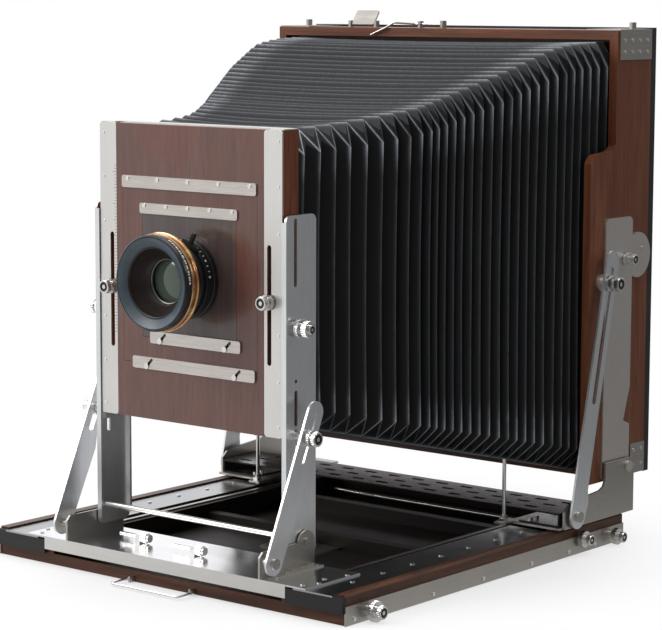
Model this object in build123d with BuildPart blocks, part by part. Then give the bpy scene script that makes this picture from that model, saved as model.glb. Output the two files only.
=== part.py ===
from build123d import *
import math
import os

# A large folding-bed view camera: a flat bed, a geared front standard with a lens, a geared rear
# standard with a focusing screen, and a bellows between them.
# Millimetres. X is to the right seen from the lens side, +Y runs to the rear, +Z is up.
# The origin is the mouth of the tripod socket, in the underside of the bed.

# Driving dimensions
BED_HALF = 286.0
BED_FRONT = -268.0
BED_REAR = 319.0
BED_TOP = 36.5
SIDE_WOOD = 14.0
STRINGER = (190.0, 204.0)
STRINGER_TOP = 31.0
REAR_BOARD_TOP = 36.0
FLOOR_T = 3.0
SOCKET_R = 4.76
SOCKET_DEPTH = 12.0
SIDE_PLATE_T = 2.0
SIDE_PLATE_TOP = 23.0
SHAFT_R = 3.0
RUNNING = 0.05
SHAFT_Z = 12.0
FRONT_SHAFT_Y = -229.0
REAR_SHAFT_Y = 285.0
LOCK_Y = 215.0
LOCK_Z = 19.5
RAIL_INNER = 212.0
RAIL_OUTER = 271.0
RAIL_BOTTOM = 16.2
RAIL_TOP = 32.4
CAP_T = 2.0
RAIL_REAR = 165.0
GEAR_MODULE = 1.25
PINION_TEETH = 12
RACK_X = 218.0
RACK_W = 12.0
CROSS_Z = 34.5
CROSS_FRONT = -274.0
CROSS_REAR = -172.0
BRACKET_X = 158.5
BRACKET_T = 3.0
UPRIGHT_PIVOT = (-188.0, 66.0)
STRUT_PIVOT = (-266.0, 56.0)
STRUT_STUD = (-203.0, 197.0)
STRUT_X = 174.0
STRUT_T = 3.0
UPRIGHT_X = 154.0
UPRIGHT_T = 3.0
UPRIGHT_FRONT = -221.0
UPRIGHT_REAR = -166.0
UPRIGHT_BOTTOM = 50.0
UPRIGHT_TOP = 461.0
TILT_AXIS = (-203.0, 327.0)
FRAME_HALF = 149.0
FRAME_BOTTOM = 195.0
FRAME_TOP = 561.0
FRAME_FACE = 219.0
FRAME_BACK = 189.0
STRIP_INNER = 121.0
PANEL_HALF = 120.5
PANEL_BACK = 207.0
LENS_Z = 375.5
OUTER_BOARD = (220.0, 225.0, 377.5)
LENS_BOARD = (154.0, 159.0, 377.5)
BOARD_T = 6.0
LENS_BOARD_T = 4.0
SHUTTER_R = 54.0
SHUTTER_FRONT = 250.0
HOOD_FRONT = 287.0
HOOD_R = 58.5
DECK_Z = 58.0
DECK_HALF = 288.0
FOOT_Z = 39.0
FOOT_T = 3.0
REAR_BRACKET_X = 291.5
REAR_PIVOT = (316.0, 101.0)
REAR_STRUT_PIVOT = (190.0, 54.0)
REAR_STRUT_STUD = (256.0, 350.0)
REAR_STRUT_X = 298.0
BACK_FRONT = 287.0
BACK_REAR = 369.0
BACK_BOTTOM = 86.0
BACK_TOP = 674.0
BACK_WALL = 12.0
SCREEN_W = 508.0
SCREEN_H = 406.0
STUD_R = 3.0
PIVOT_R = 4.0
RISE_KNOB_X = 129.0
RISE_KNOB_Z = 357.0
LEDGE_INNER = 240.0
END_BLOCK_INNER = 200.3
END_BLOCK_BOTTOM = 14.3
DECK_FRONT = 165.0
DECK_REAR = 245.0
DECK_T = 2.0
DECK_FLANGE_INNER = 226.0
DECK_NUT_X = 236.0
SLOT_PITCH = 41.0

os.makedirs("parts", exist_ok=True)


def save(piece, name):
    """Labels one finished piece and writes it as its own STEP file."""
    piece.part.label = name
    export_step(piece.part, f"parts/{name}.step")


def outward(side, x, y, z):
    """Plane across the X axis at side * x, whose normal points away from the camera's middle."""
    return Plane(origin=(side * x, y, z), x_dir=(0, 1, 0), z_dir=(side, 0, 0))


def across(side, x, thickness):
    """Plane facing +X on the low-X face of a plate that starts at side * x, with local axes Y and Z."""
    return Plane.YZ.offset(x if side > 0 else -x - thickness)


def forward(x, y, z):
    """Plane across the Y axis whose normal points forward, towards the subject."""
    return Plane(origin=(x, y, z), x_dir=(1, 0, 0), z_dir=(0, -1, 0))


def upward(x, y, z):
    """Horizontal plane at a point, with its normal up."""
    return Plane(origin=(x, y, z), x_dir=(1, 0, 0), z_dir=(0, 0, 1))


def block(x0, x1, y0, y1, z0, z1, mode=Mode.ADD):
    """Box between two corners, for use inside a BuildPart block."""
    with Locations(((x0 + x1) / 2, (y0 + y1) / 2, (z0 + z1) / 2)):
        Box(x1 - x0, y1 - y0, z1 - z0, mode=mode)


def rod(plane, radius, length, mode=Mode.ADD):
    """Cylinder standing on a plane, for use inside a BuildPart block."""
    with BuildSketch(plane) as disc:
        Circle(radius)
    extrude(disc.sketch, amount=length, mode=mode)


def screw(plane, head_r=3.0, head_h=1.6, shank_r=1.5, shank=4.0):
    """Button-head screw: the head stands on the plane, the shank goes down through it."""
    rod(plane, head_r, head_h)
    rod(plane, shank_r, -shank)


def holes(planes, radius, depth):
    """Drills a hole down from each plane into the part being built."""
    for plane in planes:
        rod(plane.offset(1.0), radius, -(depth + 1.0), mode=Mode.SUBTRACT)


def screw_set(planes, head_r=3.0, head_h=1.6, shank=4.0):
    """One group of identical screws, each a separate solid."""
    with BuildPart() as screws:
        for plane in planes:
            screw(plane, head_r=head_r, head_h=head_h, shank=shank)
    return screws


def stacked_knob(plane, stack, bore=0.0, bore_depth=0.0, shank=0.0):
    """Knob on the plane's normal: each (radius, thickness, flutes) sits on the one before."""
    height = 0.0
    with BuildPart() as knob:
        for radius, thickness, flutes in stack:
            with BuildSketch(plane.offset(height)):
                Circle(radius)
                if flutes:
                    with PolarLocations(radius + 0.3, flutes):
                        Circle(0.9, mode=Mode.SUBTRACT)
            extrude(amount=thickness)
            height += thickness
        if bore:
            rod(plane, bore, bore_depth, mode=Mode.SUBTRACT)
        if shank:
            rod(plane, STUD_R, -shank)
    return knob


# Screw positions, shared by the screws and the holes they sit in
SIDE_SCREW_Y = (-254.0, -205.5, -102.5, 0.5, 104.5, 189.0, 250.0, 307.0)
SIDE_SCREWS = [outward(s, BED_HALF + SIDE_PLATE_T, y, 6.3) for s in (1, -1) for y in SIDE_SCREW_Y]
CAP_SCREW_X = 246.5
CAP_SCREW_FRONT = -206.0
CAP_SCREW_PITCH = 58.0
CAP_SCREWS = [
    upward(s * CAP_SCREW_X, CAP_SCREW_FRONT + CAP_SCREW_PITCH * i, RAIL_TOP + CAP_T)
    for s in (1, -1)
    for i in range(7)
]
CROSS_SCREWS = [
    upward(s * x, y, CROSS_Z + CAP_T)
    for s in (1, -1)
    for x, y in ((217, -262), (226, -243), (217, -222), (226, -190))
]
FOOT_SCREWS = [
    upward(s * x, y, CROSS_Z + 2 * CAP_T)
    for s in (1, -1)
    for x, y in ((167, -250), (171, -236), (167, -222), (171, -208), (167, -192), (171, -180))
]
STRIP_SCREWS = [
    forward(s * x, -FRAME_FACE, z)
    for s in (1, -1)
    for x, z in ((143, 208), (143, 262), (143, 318), (143, 438), (143, 494), (143, 548))
]
OUTER_BAR_Z = 489.5
INNER_BAR_Z = 457.5
BAR_SCREW_RISE = 3.5
BAR_FACE = -FRAME_FACE - 2.0
BAR_SCREWS = [
    *(forward(x, BAR_FACE, OUTER_BAR_Z + BAR_SCREW_RISE) for x in (-100, -50, 0, 50, 100)),
    *(forward(x, BAR_FACE, INNER_BAR_Z + BAR_SCREW_RISE) for x in (-72, -36, 0, 36, 72)),
]
LOCK_BARS = {"inner": (11.0, 298.5, 148.0), "outer": (7.5, 265.5, 201.0)}
LOCK_BAR_W = 15.0
LOCK_BAR_TRAVEL = 11.6


def lock_bar_screws(bar):
    """The two screws that guide a sliding lock bar."""
    centre_x, centre_z, length = LOCK_BARS[bar]
    return [forward(centre_x + k * length * 0.36 - 4, -FRAME_FACE - 2.6, centre_z - 4) for k in (-1, 1)]


# Bed: a flat hardwood tray with metal edge plates
with BuildPart() as bed_frame:
    for s in (1, -1):
        x_in, x_out = sorted((s * (BED_HALF - SIDE_WOOD), s * BED_HALF))
        block(x_in, x_out, BED_FRONT, BED_REAR, 0, BED_TOP)
        top_edge = bed_frame.edges().filter_by(Axis.Y).sort_by(Axis.Z)[-2:].sort_by(Axis.X)
        chamfer(top_edge[-1] if s > 0 else top_edge[0], 3.0)
        ledge = sorted((s * LEDGE_INNER, s * (BED_HALF - SIDE_WOOD)))
        block(*ledge, BED_FRONT, BED_REAR, FLOOR_T, RAIL_BOTTOM - 0.2)
        stringer = sorted((s * STRINGER[0], s * STRINGER[1]))
        block(*stringer, BED_FRONT, BED_REAR, FLOOR_T, STRINGER_TOP)
    inside = BED_HALF - SIDE_WOOD
    block(-inside, inside, BED_FRONT, BED_FRONT + 16, 0, 14)
    block(-inside, inside, BED_REAR - 18, BED_REAR, 0, 13.5)
    block(-RAIL_INNER, RAIL_INNER, BED_REAR - 12, BED_REAR, 0, REAR_BOARD_TOP)
    for y in (-165.0, 30.0, 200.0):
        block(-STRINGER[0] - 1, STRINGER[0] + 1, y - 8, y + 8, FLOOR_T, 20)
    for y in (FRONT_SHAFT_Y, REAR_SHAFT_Y):
        rod(outward(1, -BED_HALF, y, SHAFT_Z), SHAFT_R + RUNNING, 2 * BED_HALF, mode=Mode.SUBTRACT)
    for s in (1, -1):
        rod(outward(s, 230, LOCK_Y, LOCK_Z), SHAFT_R + RUNNING, 60, mode=Mode.SUBTRACT)
    holes(SIDE_SCREWS, 1.5, 12)
save(bed_frame, "bed_frame")

with BuildPart() as floor_panel:
    block(-inside, inside, BED_FRONT + 16, BED_REAR - 18, 0, FLOOR_T)
    rod(upward(0, 0, 0), 15.0, FLOOR_T, mode=Mode.SUBTRACT)
save(floor_panel, "floor_panel")

with BuildPart() as tripod_plate:
    block(-45, 45, -35, 21, FLOOR_T, FLOOR_T + 3)
    rod(upward(0, 0, 0), 14.8, SOCKET_DEPTH + 2)
    rod(upward(0, 0, 0), SOCKET_R, SOCKET_DEPTH, mode=Mode.SUBTRACT)
save(tripod_plate, "tripod_plate")

BAIL_AXIS = (BED_FRONT - 4.0, 3.5)
BAIL_HALF = 55.5
BAIL_REACH = 30.0
with BuildPart() as side_plates:
    for s in (1, -1):
        x0, x1 = sorted((s * BED_HALF, s * (BED_HALF + SIDE_PLATE_T)))
        block(x0, x1, BED_FRONT - 2, BED_REAR, 0, SIDE_PLATE_TOP)
        for y in (FRONT_SHAFT_Y, REAR_SHAFT_Y):
            rod(outward(s, BED_HALF - 2, y, SHAFT_Z), SHAFT_R + RUNNING, 8, mode=Mode.SUBTRACT)
        rod(outward(s, BED_HALF - 2, LOCK_Y, LOCK_Z), SHAFT_R + RUNNING, 8, mode=Mode.SUBTRACT)
        x0, x1 = sorted((s * (BAIL_HALF - 7), s * (BAIL_HALF - 4)))
        block(x0, x1, BAIL_AXIS[0] - 3.5, BED_FRONT, 0, 7.5)
        rod(outward(s, BAIL_HALF - 11, *BAIL_AXIS), 1.5 + RUNNING, 10, mode=Mode.SUBTRACT)
        x0, x1 = sorted((s * (STRINGER[1] - 6), s * STRINGER[1]))
        block(x0, x1, BED_FRONT, BED_REAR - 12, STRINGER_TOP, STRINGER_TOP + 2)
    holes(SIDE_SCREWS, 1.5, 6)
save(side_plates, "side_plates_and_lugs")

save(screw_set(SIDE_SCREWS, head_r=2.6, head_h=1.0, shank=10), "side_plate_screws")

with BuildPart() as bail_handle:
    bail_pin = BAIL_HALF - 8
    with BuildLine() as bail_path:
        FilletPolyline(
            (-bail_pin, BAIL_AXIS[0], BAIL_AXIS[1]),
            (-BAIL_HALF, BAIL_AXIS[0], BAIL_AXIS[1]),
            (-BAIL_HALF, BAIL_AXIS[0] - BAIL_REACH, BAIL_AXIS[1]),
            (BAIL_HALF, BAIL_AXIS[0] - BAIL_REACH, BAIL_AXIS[1]),
            (BAIL_HALF, BAIL_AXIS[0], BAIL_AXIS[1]),
            (bail_pin, BAIL_AXIS[0], BAIL_AXIS[1]),
            radius=3.4,
        )
    with BuildSketch(Plane(origin=(-bail_pin, *BAIL_AXIS), z_dir=(-1, 0, 0))):
        Circle(1.5)
    sweep(path=bail_path.line)
save(bail_handle, "bail_handle")


# Focusing drives: one cross shaft, with a pinion under each rail and a knob at each end
def pinion_teeth(y, side):
    """Profile of a small pinion; a tooth stands straight up at rest."""
    pitch_r = GEAR_MODULE * PINION_TEETH / 2
    with BuildSketch(outward(side, RACK_X + 1, y, SHAFT_Z)) as gear:
        Circle(pitch_r - 1.25 * GEAR_MODULE)
        with PolarLocations(0, PINION_TEETH, start_angle=90):
            with BuildLine():
                Polyline(
                    (pitch_r - 2.2, -1.25),
                    (pitch_r, -0.8),
                    (pitch_r + 1.1, -0.4),
                    (pitch_r + 1.1, 0.4),
                    (pitch_r, 0.8),
                    (pitch_r - 2.2, 1.25),
                    close=True,
                )
            make_face()
    extrude(gear.sketch, amount=RACK_W - 2)


def focus_drive(y, radius):
    """Cross shaft with two pinions, and a pinned knob on each end as a separate solid."""
    with BuildPart() as drive:
        rod(outward(1, -303, y, SHAFT_Z), SHAFT_R, 606)
        for side in (1, -1):
            pinion_teeth(y, side)
            rod(outward(side, BED_HALF + SIDE_PLATE_T + 0.2, y, SHAFT_Z), 6.0, 6)
            knob = stacked_knob(
                outward(side, BED_HALF + SIDE_PLATE_T + 6.25, y, SHAFT_Z),
                (
                    (radius - 2.5, 2.5, 0),
                    (radius, 6.0, 30),
                    (radius * 0.55, 3.5, 0),
                    (radius * 0.66, 4.0, 24),
                ),
                bore=SHAFT_R + 0.02,
                bore_depth=9.0,
            )
            add(knob.part)
    return drive


save(focus_drive(FRONT_SHAFT_Y, 12.5), "front_focus_drive")
save(focus_drive(REAR_SHAFT_Y, 11.0), "rear_focus_drive")

for side, word in ((1, "right"), (-1, "left")):
    lock = stacked_knob(
        outward(side, BED_HALF + SIDE_PLATE_T + 0.3, LOCK_Y, LOCK_Z),
        ((5.0, 3.0, 0), (11.0, 6.0, 30), (6.0, 4.0, 0), (7.0, 4.0, 24)),
        shank=BED_HALF + SIDE_PLATE_T + 0.3 - RAIL_OUTER - 0.2,
    )
    save(lock, f"carriage_lock_{word}")


# Front track: two rails with metal caps and racks, joined by a cross plate
def rack_profile(y0, y1, mesh_y, root_z):
    """Rack with its teeth down; the middle of a gap stands over mesh_y."""
    pitch = math.pi * GEAR_MODULE
    pitch_z = SHAFT_Z + GEAR_MODULE * PINION_TEETH / 2
    first = math.ceil((y0 - mesh_y) / pitch) + 1
    last = math.floor((y1 - mesh_y) / pitch) - 1
    points = [(y0, root_z), (y0, pitch_z + 1.6)]
    for i in range(first, last):
        tooth = mesh_y + (i + 0.5) * pitch
        points += [
            (tooth - 1.15, pitch_z + 1.6),
            (tooth - 0.4, pitch_z - 1.0),
            (tooth + 0.4, pitch_z - 1.0),
            (tooth + 1.15, pitch_z + 1.6),
        ]
    points += [(y1, pitch_z + 1.6), (y1, root_z)]
    Polyline(*points, close=True)


def rack_pair(y0, y1, mesh_y, root_z):
    """A rack on each side of the bed."""
    with BuildPart() as racks:
        for side in (1, -1):
            with BuildSketch(across(side, RACK_X, RACK_W)):
                with BuildLine():
                    rack_profile(y0, y1, mesh_y, root_z)
                make_face()
            extrude(amount=RACK_W)
    return racks


with BuildPart() as track_rails:
    for s in (1, -1):
        x0, x1 = sorted((s * RAIL_INNER, s * RAIL_OUTER))
        block(x0, x1, BED_FRONT, RAIL_REAR, RAIL_BOTTOM, RAIL_TOP)
        g0, g1 = sorted((s * (RACK_X - 1), s * (RACK_X + RACK_W + 1)))
        block(g0, g1, BED_FRONT + 4, RAIL_REAR, RAIL_BOTTOM, 24, mode=Mode.SUBTRACT)
        x0, x1 = sorted((s * END_BLOCK_INNER, s * RAIL_OUTER))
        block(x0, x1, CROSS_FRONT, BED_FRONT, END_BLOCK_BOTTOM, RAIL_TOP)
        x0, x1 = sorted((s * RAIL_OUTER, s * (BED_HALF - 0.2)))
        block(x0, x1, CROSS_FRONT, BED_FRONT - 0.4, END_BLOCK_BOTTOM, RAIL_TOP + CAP_T)
    holes(CAP_SCREWS, 1.5, 9)
    holes(CROSS_SCREWS, 1.5, 9)
save(track_rails, "track_rails")

with BuildPart() as track_caps:
    for s in (1, -1):
        x0, x1 = sorted((s * RAIL_INNER, s * RAIL_OUTER))
        block(x0, x1, CROSS_FRONT, RAIL_REAR, RAIL_TOP, RAIL_TOP + CAP_T)
    holes(CAP_SCREWS, 1.5, 9)
    holes(CROSS_SCREWS, 1.5, 9)
    add(rack_pair(BED_FRONT + 8, RAIL_REAR - 2, FRONT_SHAFT_Y, 24.0).part)
save(track_caps, "track_caps_and_racks")

LOCK_SCREW_X = {"left": -78.0, "right": 22.0}
LOCK_SCREW_Y = {"left": -222.0, "right": -230.0}
LOCK_SCREW_Z = CROSS_Z + CAP_T + 7.0
with BuildPart() as cross_plate:
    block(-231, 231, CROSS_FRONT, CROSS_REAR, CROSS_Z, CROSS_Z + CAP_T)
    block(-200, 200, CROSS_FRONT, CROSS_FRONT + 3, 20, CROSS_Z + CAP_T)
    for word, x in LOCK_SCREW_X.items():
        y = LOCK_SCREW_Y[word]
        block(x - 8, x - 0.3, y - 5, y + 5, CROSS_Z + CAP_T, LOCK_SCREW_Z + 4)
        rod(outward(1, x - 20, y, LOCK_SCREW_Z), STUD_R + RUNNING, 30, mode=Mode.SUBTRACT)
    holes(CROSS_SCREWS + FOOT_SCREWS, 1.5, 9)
save(cross_plate, "cross_plate")

with BuildPart() as spare_screws:
    for word, x in LOCK_SCREW_X.items():
        spare = stacked_knob(
            outward(1, x, LOCK_SCREW_Y[word], LOCK_SCREW_Z),
            ((6.4, 9.0, 24), (5.0, 4.0, 0)),
            shank=37,
        )
        add(spare.part)
save(spare_screws, "spare_lock_screws")

with BuildPart() as track_screws:
    for plane in CAP_SCREWS + CROSS_SCREWS:
        screw(plane, head_r=3.0, head_h=1.2, shank=8)
    for plane in FOOT_SCREWS:
        screw(plane, head_r=2.6, head_h=1.2, shank=4)
save(track_screws, "track_screws")

with BuildPart() as front_brackets:
    for side in (1, -1):
        with BuildSketch(across(side, BRACKET_X, BRACKET_T)):
            with Locations((UPRIGHT_PIVOT[0], UPRIGHT_PIVOT[1])):
                Circle(15)
            with BuildLine():
                Polyline(
                    (CROSS_FRONT, CROSS_Z + CAP_T),
                    (CROSS_FRONT, 62),
                    (CROSS_FRONT + 6, 68),
                    (-206, 68),
                    (-203, 66),
                    (CROSS_REAR - 1, 66),
                    (CROSS_REAR - 1, CROSS_Z + CAP_T),
                    close=True,
                )
            make_face()
        extrude(amount=BRACKET_T)
        x0, x1 = sorted((side * BRACKET_X, side * 176.0))
        block(x0, x1, -258, CROSS_REAR - 1, CROSS_Z + CAP_T, CROSS_Z + 2 * CAP_T)
        edge = BRACKET_X + BRACKET_T
        rod(outward(side, edge, *UPRIGHT_PIVOT), 6.0, 3)
        rod(outward(side, BRACKET_X - 8.0, *UPRIGHT_PIVOT), STUD_R, 9)
        rod(outward(side, edge, *STRUT_PIVOT), 5.5, STRUT_X - edge - 0.1)
        rod(outward(side, edge, *STRUT_PIVOT), STUD_R, STRUT_X - edge + STRUT_T + 0.2)
        rod(outward(side, STRUT_X + STRUT_T + 0.1, *STRUT_PIVOT), 6.5, 3.5)
    holes(FOOT_SCREWS, 1.5, 9)
save(front_brackets, "front_brackets")

# Front standard: channel uprights, braced by slotted struts
FRONT_SLOT = (168.0, 252.0)
TILT_SLOT = (376.0, 457.0)


def vertical_slot(y, z0, z1, width):
    """Slot with round ends in the sketch being drawn on an outward plane."""
    with Locations((y, (z0 + z1) / 2)):
        SlotOverall(z1 - z0, width, rotation=90, mode=Mode.SUBTRACT)


with BuildPart() as front_uprights:
    for side in (1, -1):
        with BuildSketch(across(side, UPRIGHT_X, UPRIGHT_T)):
            with Locations(((UPRIGHT_FRONT + UPRIGHT_REAR) / 2, (UPRIGHT_BOTTOM + UPRIGHT_TOP) / 2)):
                RectangleRounded(UPRIGHT_REAR - UPRIGHT_FRONT, UPRIGHT_TOP - UPRIGHT_BOTTOM, 8)
            vertical_slot(-204, *TILT_SLOT, 5)
            vertical_slot(STRUT_STUD[0], *FRONT_SLOT, 5.4)
            with Locations((STRUT_STUD[0], 263)):
                Circle(2.2, mode=Mode.SUBTRACT)
            with Locations(UPRIGHT_PIVOT):
                Circle(STUD_R + RUNNING, mode=Mode.SUBTRACT)
            with Locations(TILT_AXIS):
                Circle(STUD_R + RUNNING, mode=Mode.SUBTRACT)
            with Locations((-213.5, 76)):
                Circle(2.0 + RUNNING, mode=Mode.SUBTRACT)
        extrude(amount=UPRIGHT_T)
        x0, x1 = sorted((side * (UPRIGHT_X - 4), side * UPRIGHT_X))
        for y0, y1 in ((UPRIGHT_FRONT, UPRIGHT_FRONT + 3), (UPRIGHT_REAR - 3, UPRIGHT_REAR)):
            block(x0, x1, y0, y1, UPRIGHT_BOTTOM + 8, UPRIGHT_TOP - 8)
save(front_uprights, "front_uprights")

with BuildPart() as upright_fittings:
    rod(outward(1, -UPRIGHT_X, -213.5, 76), 3.5, 2 * UPRIGHT_X)
    rod(outward(1, -UPRIGHT_X - UPRIGHT_T, -213.5, 76), 2.0, 2 * (UPRIGHT_X + UPRIGHT_T))
    for side in (1, -1):
        x0, x1 = sorted((side * (UPRIGHT_X - 3.4), side * (UPRIGHT_X - 0.1)))
        block(x0, x1, STRUT_STUD[0] - 7, STRUT_STUD[0] + 7, STRUT_STUD[1] - 12, STRUT_STUD[1] + 12)
        rod(outward(side, UPRIGHT_X - 1, *STRUT_STUD), 2.5, UPRIGHT_T + 2)
        face_x = UPRIGHT_X + UPRIGHT_T
        rod(outward(side, face_x + 0.1, *STRUT_STUD), 6.0, STRUT_X - face_x - 0.3)
        rod(outward(side, face_x, *STRUT_STUD), STUD_R, STRUT_X + 12 - face_x)
save(upright_fittings, "tie_rod_and_sliders")


def along(side, x, start, end):
    """Plane facing +X on a strut's low-X face, its local X axis from start to end, both (y, z) points."""
    return Plane(
        origin=(x if side > 0 else -x - STRUT_T, *start),
        x_dir=(0, end[0] - start[0], end[1] - start[1]),
        z_dir=(1, 0, 0),
    )


def strut_pair(x, start, stud, foot_r, head_r, length, slot, slot_w, belly):
    """Two slotted struts, one each side, round at both ends and widest just below the slot."""
    with BuildPart() as struts:
        for side in (1, -1):
            with BuildSketch(along(side, x, start, stud)):
                Circle(foot_r)
                with Locations((length, 0)):
                    Circle(head_r)
                with BuildLine():
                    Polyline(
                        (0, foot_r),
                        (length, head_r),
                        (length, -head_r),
                        (belly[0] + 15, -head_r - 0.5),
                        (belly[0], -belly[1]),
                        (0, -foot_r),
                        close=True,
                    )
                make_face()
                with Locations(((slot[0] + slot[1]) / 2, 0)):
                    SlotCenterToCenter(slot[1] - slot[0], slot_w, mode=Mode.SUBTRACT)
                Circle(STUD_R + RUNNING, mode=Mode.SUBTRACT)
            extrude(amount=STRUT_T)
    return struts


save(
    strut_pair(STRUT_X, STRUT_PIVOT, STRUT_STUD, 14.5, 14.0, 186.0, (126, 182), 7.6, (104, 18.0)),
    "front_struts",
)

for side, word in ((1, "right"), (-1, "left")):
    knob = stacked_knob(
        outward(side, STRUT_X + STRUT_T + 0.4, *STRUT_STUD),
        ((7.5, 2.0, 0), (10.5, 4.5, 28), (6.0, 2.5, 0), (9.0, 4.0, 24)),
        bore=STUD_R + RUNNING,
        bore_depth=9.5,
    )
    save(knob, f"front_strut_knob_{word}")

# Front frame: hardwood frame with a sliding lens panel between two metal face strips
STRIP_T = 2.2
with BuildPart() as front_frame:
    centre_z = (FRAME_BOTTOM + FRAME_TOP) / 2
    block(-FRAME_HALF, FRAME_HALF, -PANEL_BACK + 0.2, -FRAME_BACK, FRAME_BOTTOM, FRAME_TOP)
    block(-105, 105, -PANEL_BACK, -FRAME_BACK + 1, centre_z - 128, centre_z + 128, mode=Mode.SUBTRACT)
    for s in (1, -1):
        x0, x1 = sorted((s * 126.2, s * FRAME_HALF))
        block(x0, x1, -FRAME_FACE + STRIP_T, -PANEL_BACK + 0.2, FRAME_BOTTOM, FRAME_TOP)
        g0, g1 = sorted((s * 126, s * 132))
        block(g0, g1, -FRAME_FACE, -PANEL_BACK + 0.2, 276, 430, mode=Mode.SUBTRACT)
        rod(outward(s, FRAME_HALF - 12, *TILT_AXIS), STUD_R, 14, mode=Mode.SUBTRACT)
    holes(STRIP_SCREWS, 1.5, 9)
save(front_frame, "front_frame")

with BuildPart() as face_strips:
    for s in (1, -1):
        with BuildSketch(forward(0, -FRAME_FACE + STRIP_T, 0)):
            with Locations((s * (STRIP_INNER + FRAME_HALF) / 2, centre_z)):
                RectangleRounded(FRAME_HALF - STRIP_INNER, FRAME_TOP - FRAME_BOTTOM, 4)
            with Locations((s * 129.0, 353.0)):
                SlotOverall(144, 6.4, rotation=90, mode=Mode.SUBTRACT)
        extrude(amount=STRIP_T)
        x0, x1 = sorted((s * 126.4, s * FRAME_HALF))
        block(x0, x1, -FRAME_FACE + 4, -FRAME_BACK, FRAME_TOP, FRAME_TOP + 1.2)
    block(-148, 148, -PANEL_BACK + 1, -FRAME_BACK, FRAME_TOP, FRAME_TOP + 1.2)
    holes(STRIP_SCREWS, 1.5, 9)
    for side in (1, -1):
        rod(outward(side, FRAME_HALF - 12, *TILT_AXIS), STUD_R, 38)
save(face_strips, "face_strips_and_studs")

save(screw_set(STRIP_SCREWS, head_r=2.0, head_h=0.6, shank=8), "strip_screws")

for side, word in ((1, "right"), (-1, "left")):
    knob = stacked_knob(
        outward(side, UPRIGHT_X + UPRIGHT_T + 0.4, *TILT_AXIS),
        ((7.0, 4.0, 0), (11.5, 5.5, 30), (7.0, 5.0, 0), (10.0, 7.0, 26), (6.0, 2.0, 0)),
        bore=STUD_R + RUNNING,
        bore_depth=20,
    )
    save(knob, f"tilt_knob_{word}")

with BuildPart() as lens_panel:
    block(-PANEL_HALF, PANEL_HALF, -FRAME_FACE, -PANEL_BACK, FRAME_BOTTOM, FRAME_TOP)
    block(-126, 126, -FRAME_FACE + STRIP_T + 0.3, -PANEL_BACK, FRAME_BOTTOM, FRAME_TOP)
    width, height, mid = OUTER_BOARD
    block(
        -width / 2 - 0.4,
        width / 2 + 0.4,
        -FRAME_FACE - 1,
        -FRAME_FACE + BOARD_T,
        mid - height / 2 - 0.4,
        mid + height / 2 + 0.4,
        mode=Mode.SUBTRACT,
    )
    block(-100, 100, -FRAME_FACE, -PANEL_BACK, mid - 104, mid + 104, mode=Mode.SUBTRACT)
    holes([forward(p.origin.X, -FRAME_FACE, p.origin.Z) for p in BAR_SCREWS], 1.5, 10)
    holes([forward(p.origin.X, -FRAME_FACE, p.origin.Z) for p in lock_bar_screws("outer")], 1.5, 10)
save(lens_panel, "lens_panel")

with BuildPart() as outer_board:
    block(-width / 2, width / 2, -FRAME_FACE, -FRAME_FACE + BOARD_T, mid - height / 2, mid + height / 2)
    in_w, in_h, in_mid = LENS_BOARD
    block(
        -in_w / 2 - 0.4,
        in_w / 2 + 0.4,
        -FRAME_FACE - 1,
        -FRAME_FACE + LENS_BOARD_T,
        in_mid - in_h / 2 - 0.4,
        in_mid + in_h / 2 + 0.4,
        mode=Mode.SUBTRACT,
    )
    block(-71, 71, -FRAME_FACE, -FRAME_FACE + BOARD_T + 1, in_mid - 73, in_mid + 73, mode=Mode.SUBTRACT)
    holes([forward(p.origin.X, -FRAME_FACE, p.origin.Z) for p in BAR_SCREWS], 1.5, 10)
    holes([forward(p.origin.X, -FRAME_FACE, p.origin.Z) for p in lock_bar_screws("inner")], 1.5, 10)
save(outer_board, "outer_board")

MOUNT_R = 32.0
with BuildPart() as lens_board:
    board_rear = -FRAME_FACE + LENS_BOARD_T
    block(-in_w / 2, in_w / 2, -FRAME_FACE, board_rear, in_mid - in_h / 2, in_mid + in_h / 2)
    rod(forward(0, board_rear + 1, LENS_Z), MOUNT_R + 0.2, 8, mode=Mode.SUBTRACT)
save(lens_board, "lens_board")

with BuildPart() as retaining_bars:
    for z, length, height_z in ((OUTER_BAR_Z, 220, 15), (INNER_BAR_Z, 160, 13)):
        with BuildSketch(forward(0, -FRAME_FACE, 0)):
            with Locations((0, z)):
                RectangleRounded(length, height_z, 3)
        extrude(amount=2.0)
    holes(BAR_SCREWS, 1.5, 9)
    for s in (1, -1):
        x0, x1 = sorted((s * 126.0, s * 131.7))
        block(x0, x1, -FRAME_FACE + STRIP_T + 0.5, -PANEL_BACK, RISE_KNOB_Z - 8, RISE_KNOB_Z + 8)
        rod(forward(s * RISE_KNOB_X, -FRAME_FACE + STRIP_T + 2, RISE_KNOB_Z), STUD_R, 13)
save(retaining_bars, "retaining_bars_and_rise_studs")

GUIDE_SCREWS = lock_bar_screws("inner") + lock_bar_screws("outer")
with BuildPart() as board_screws:
    for plane in BAR_SCREWS:
        screw(plane, head_r=2.6, head_h=0.9, shank=5.5)
    for plane in GUIDE_SCREWS:
        screw(plane.offset(0.3), head_r=3.6, head_h=1.2, shank_r=1.5, shank=6.5)
save(board_screws, "board_screws")

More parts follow.
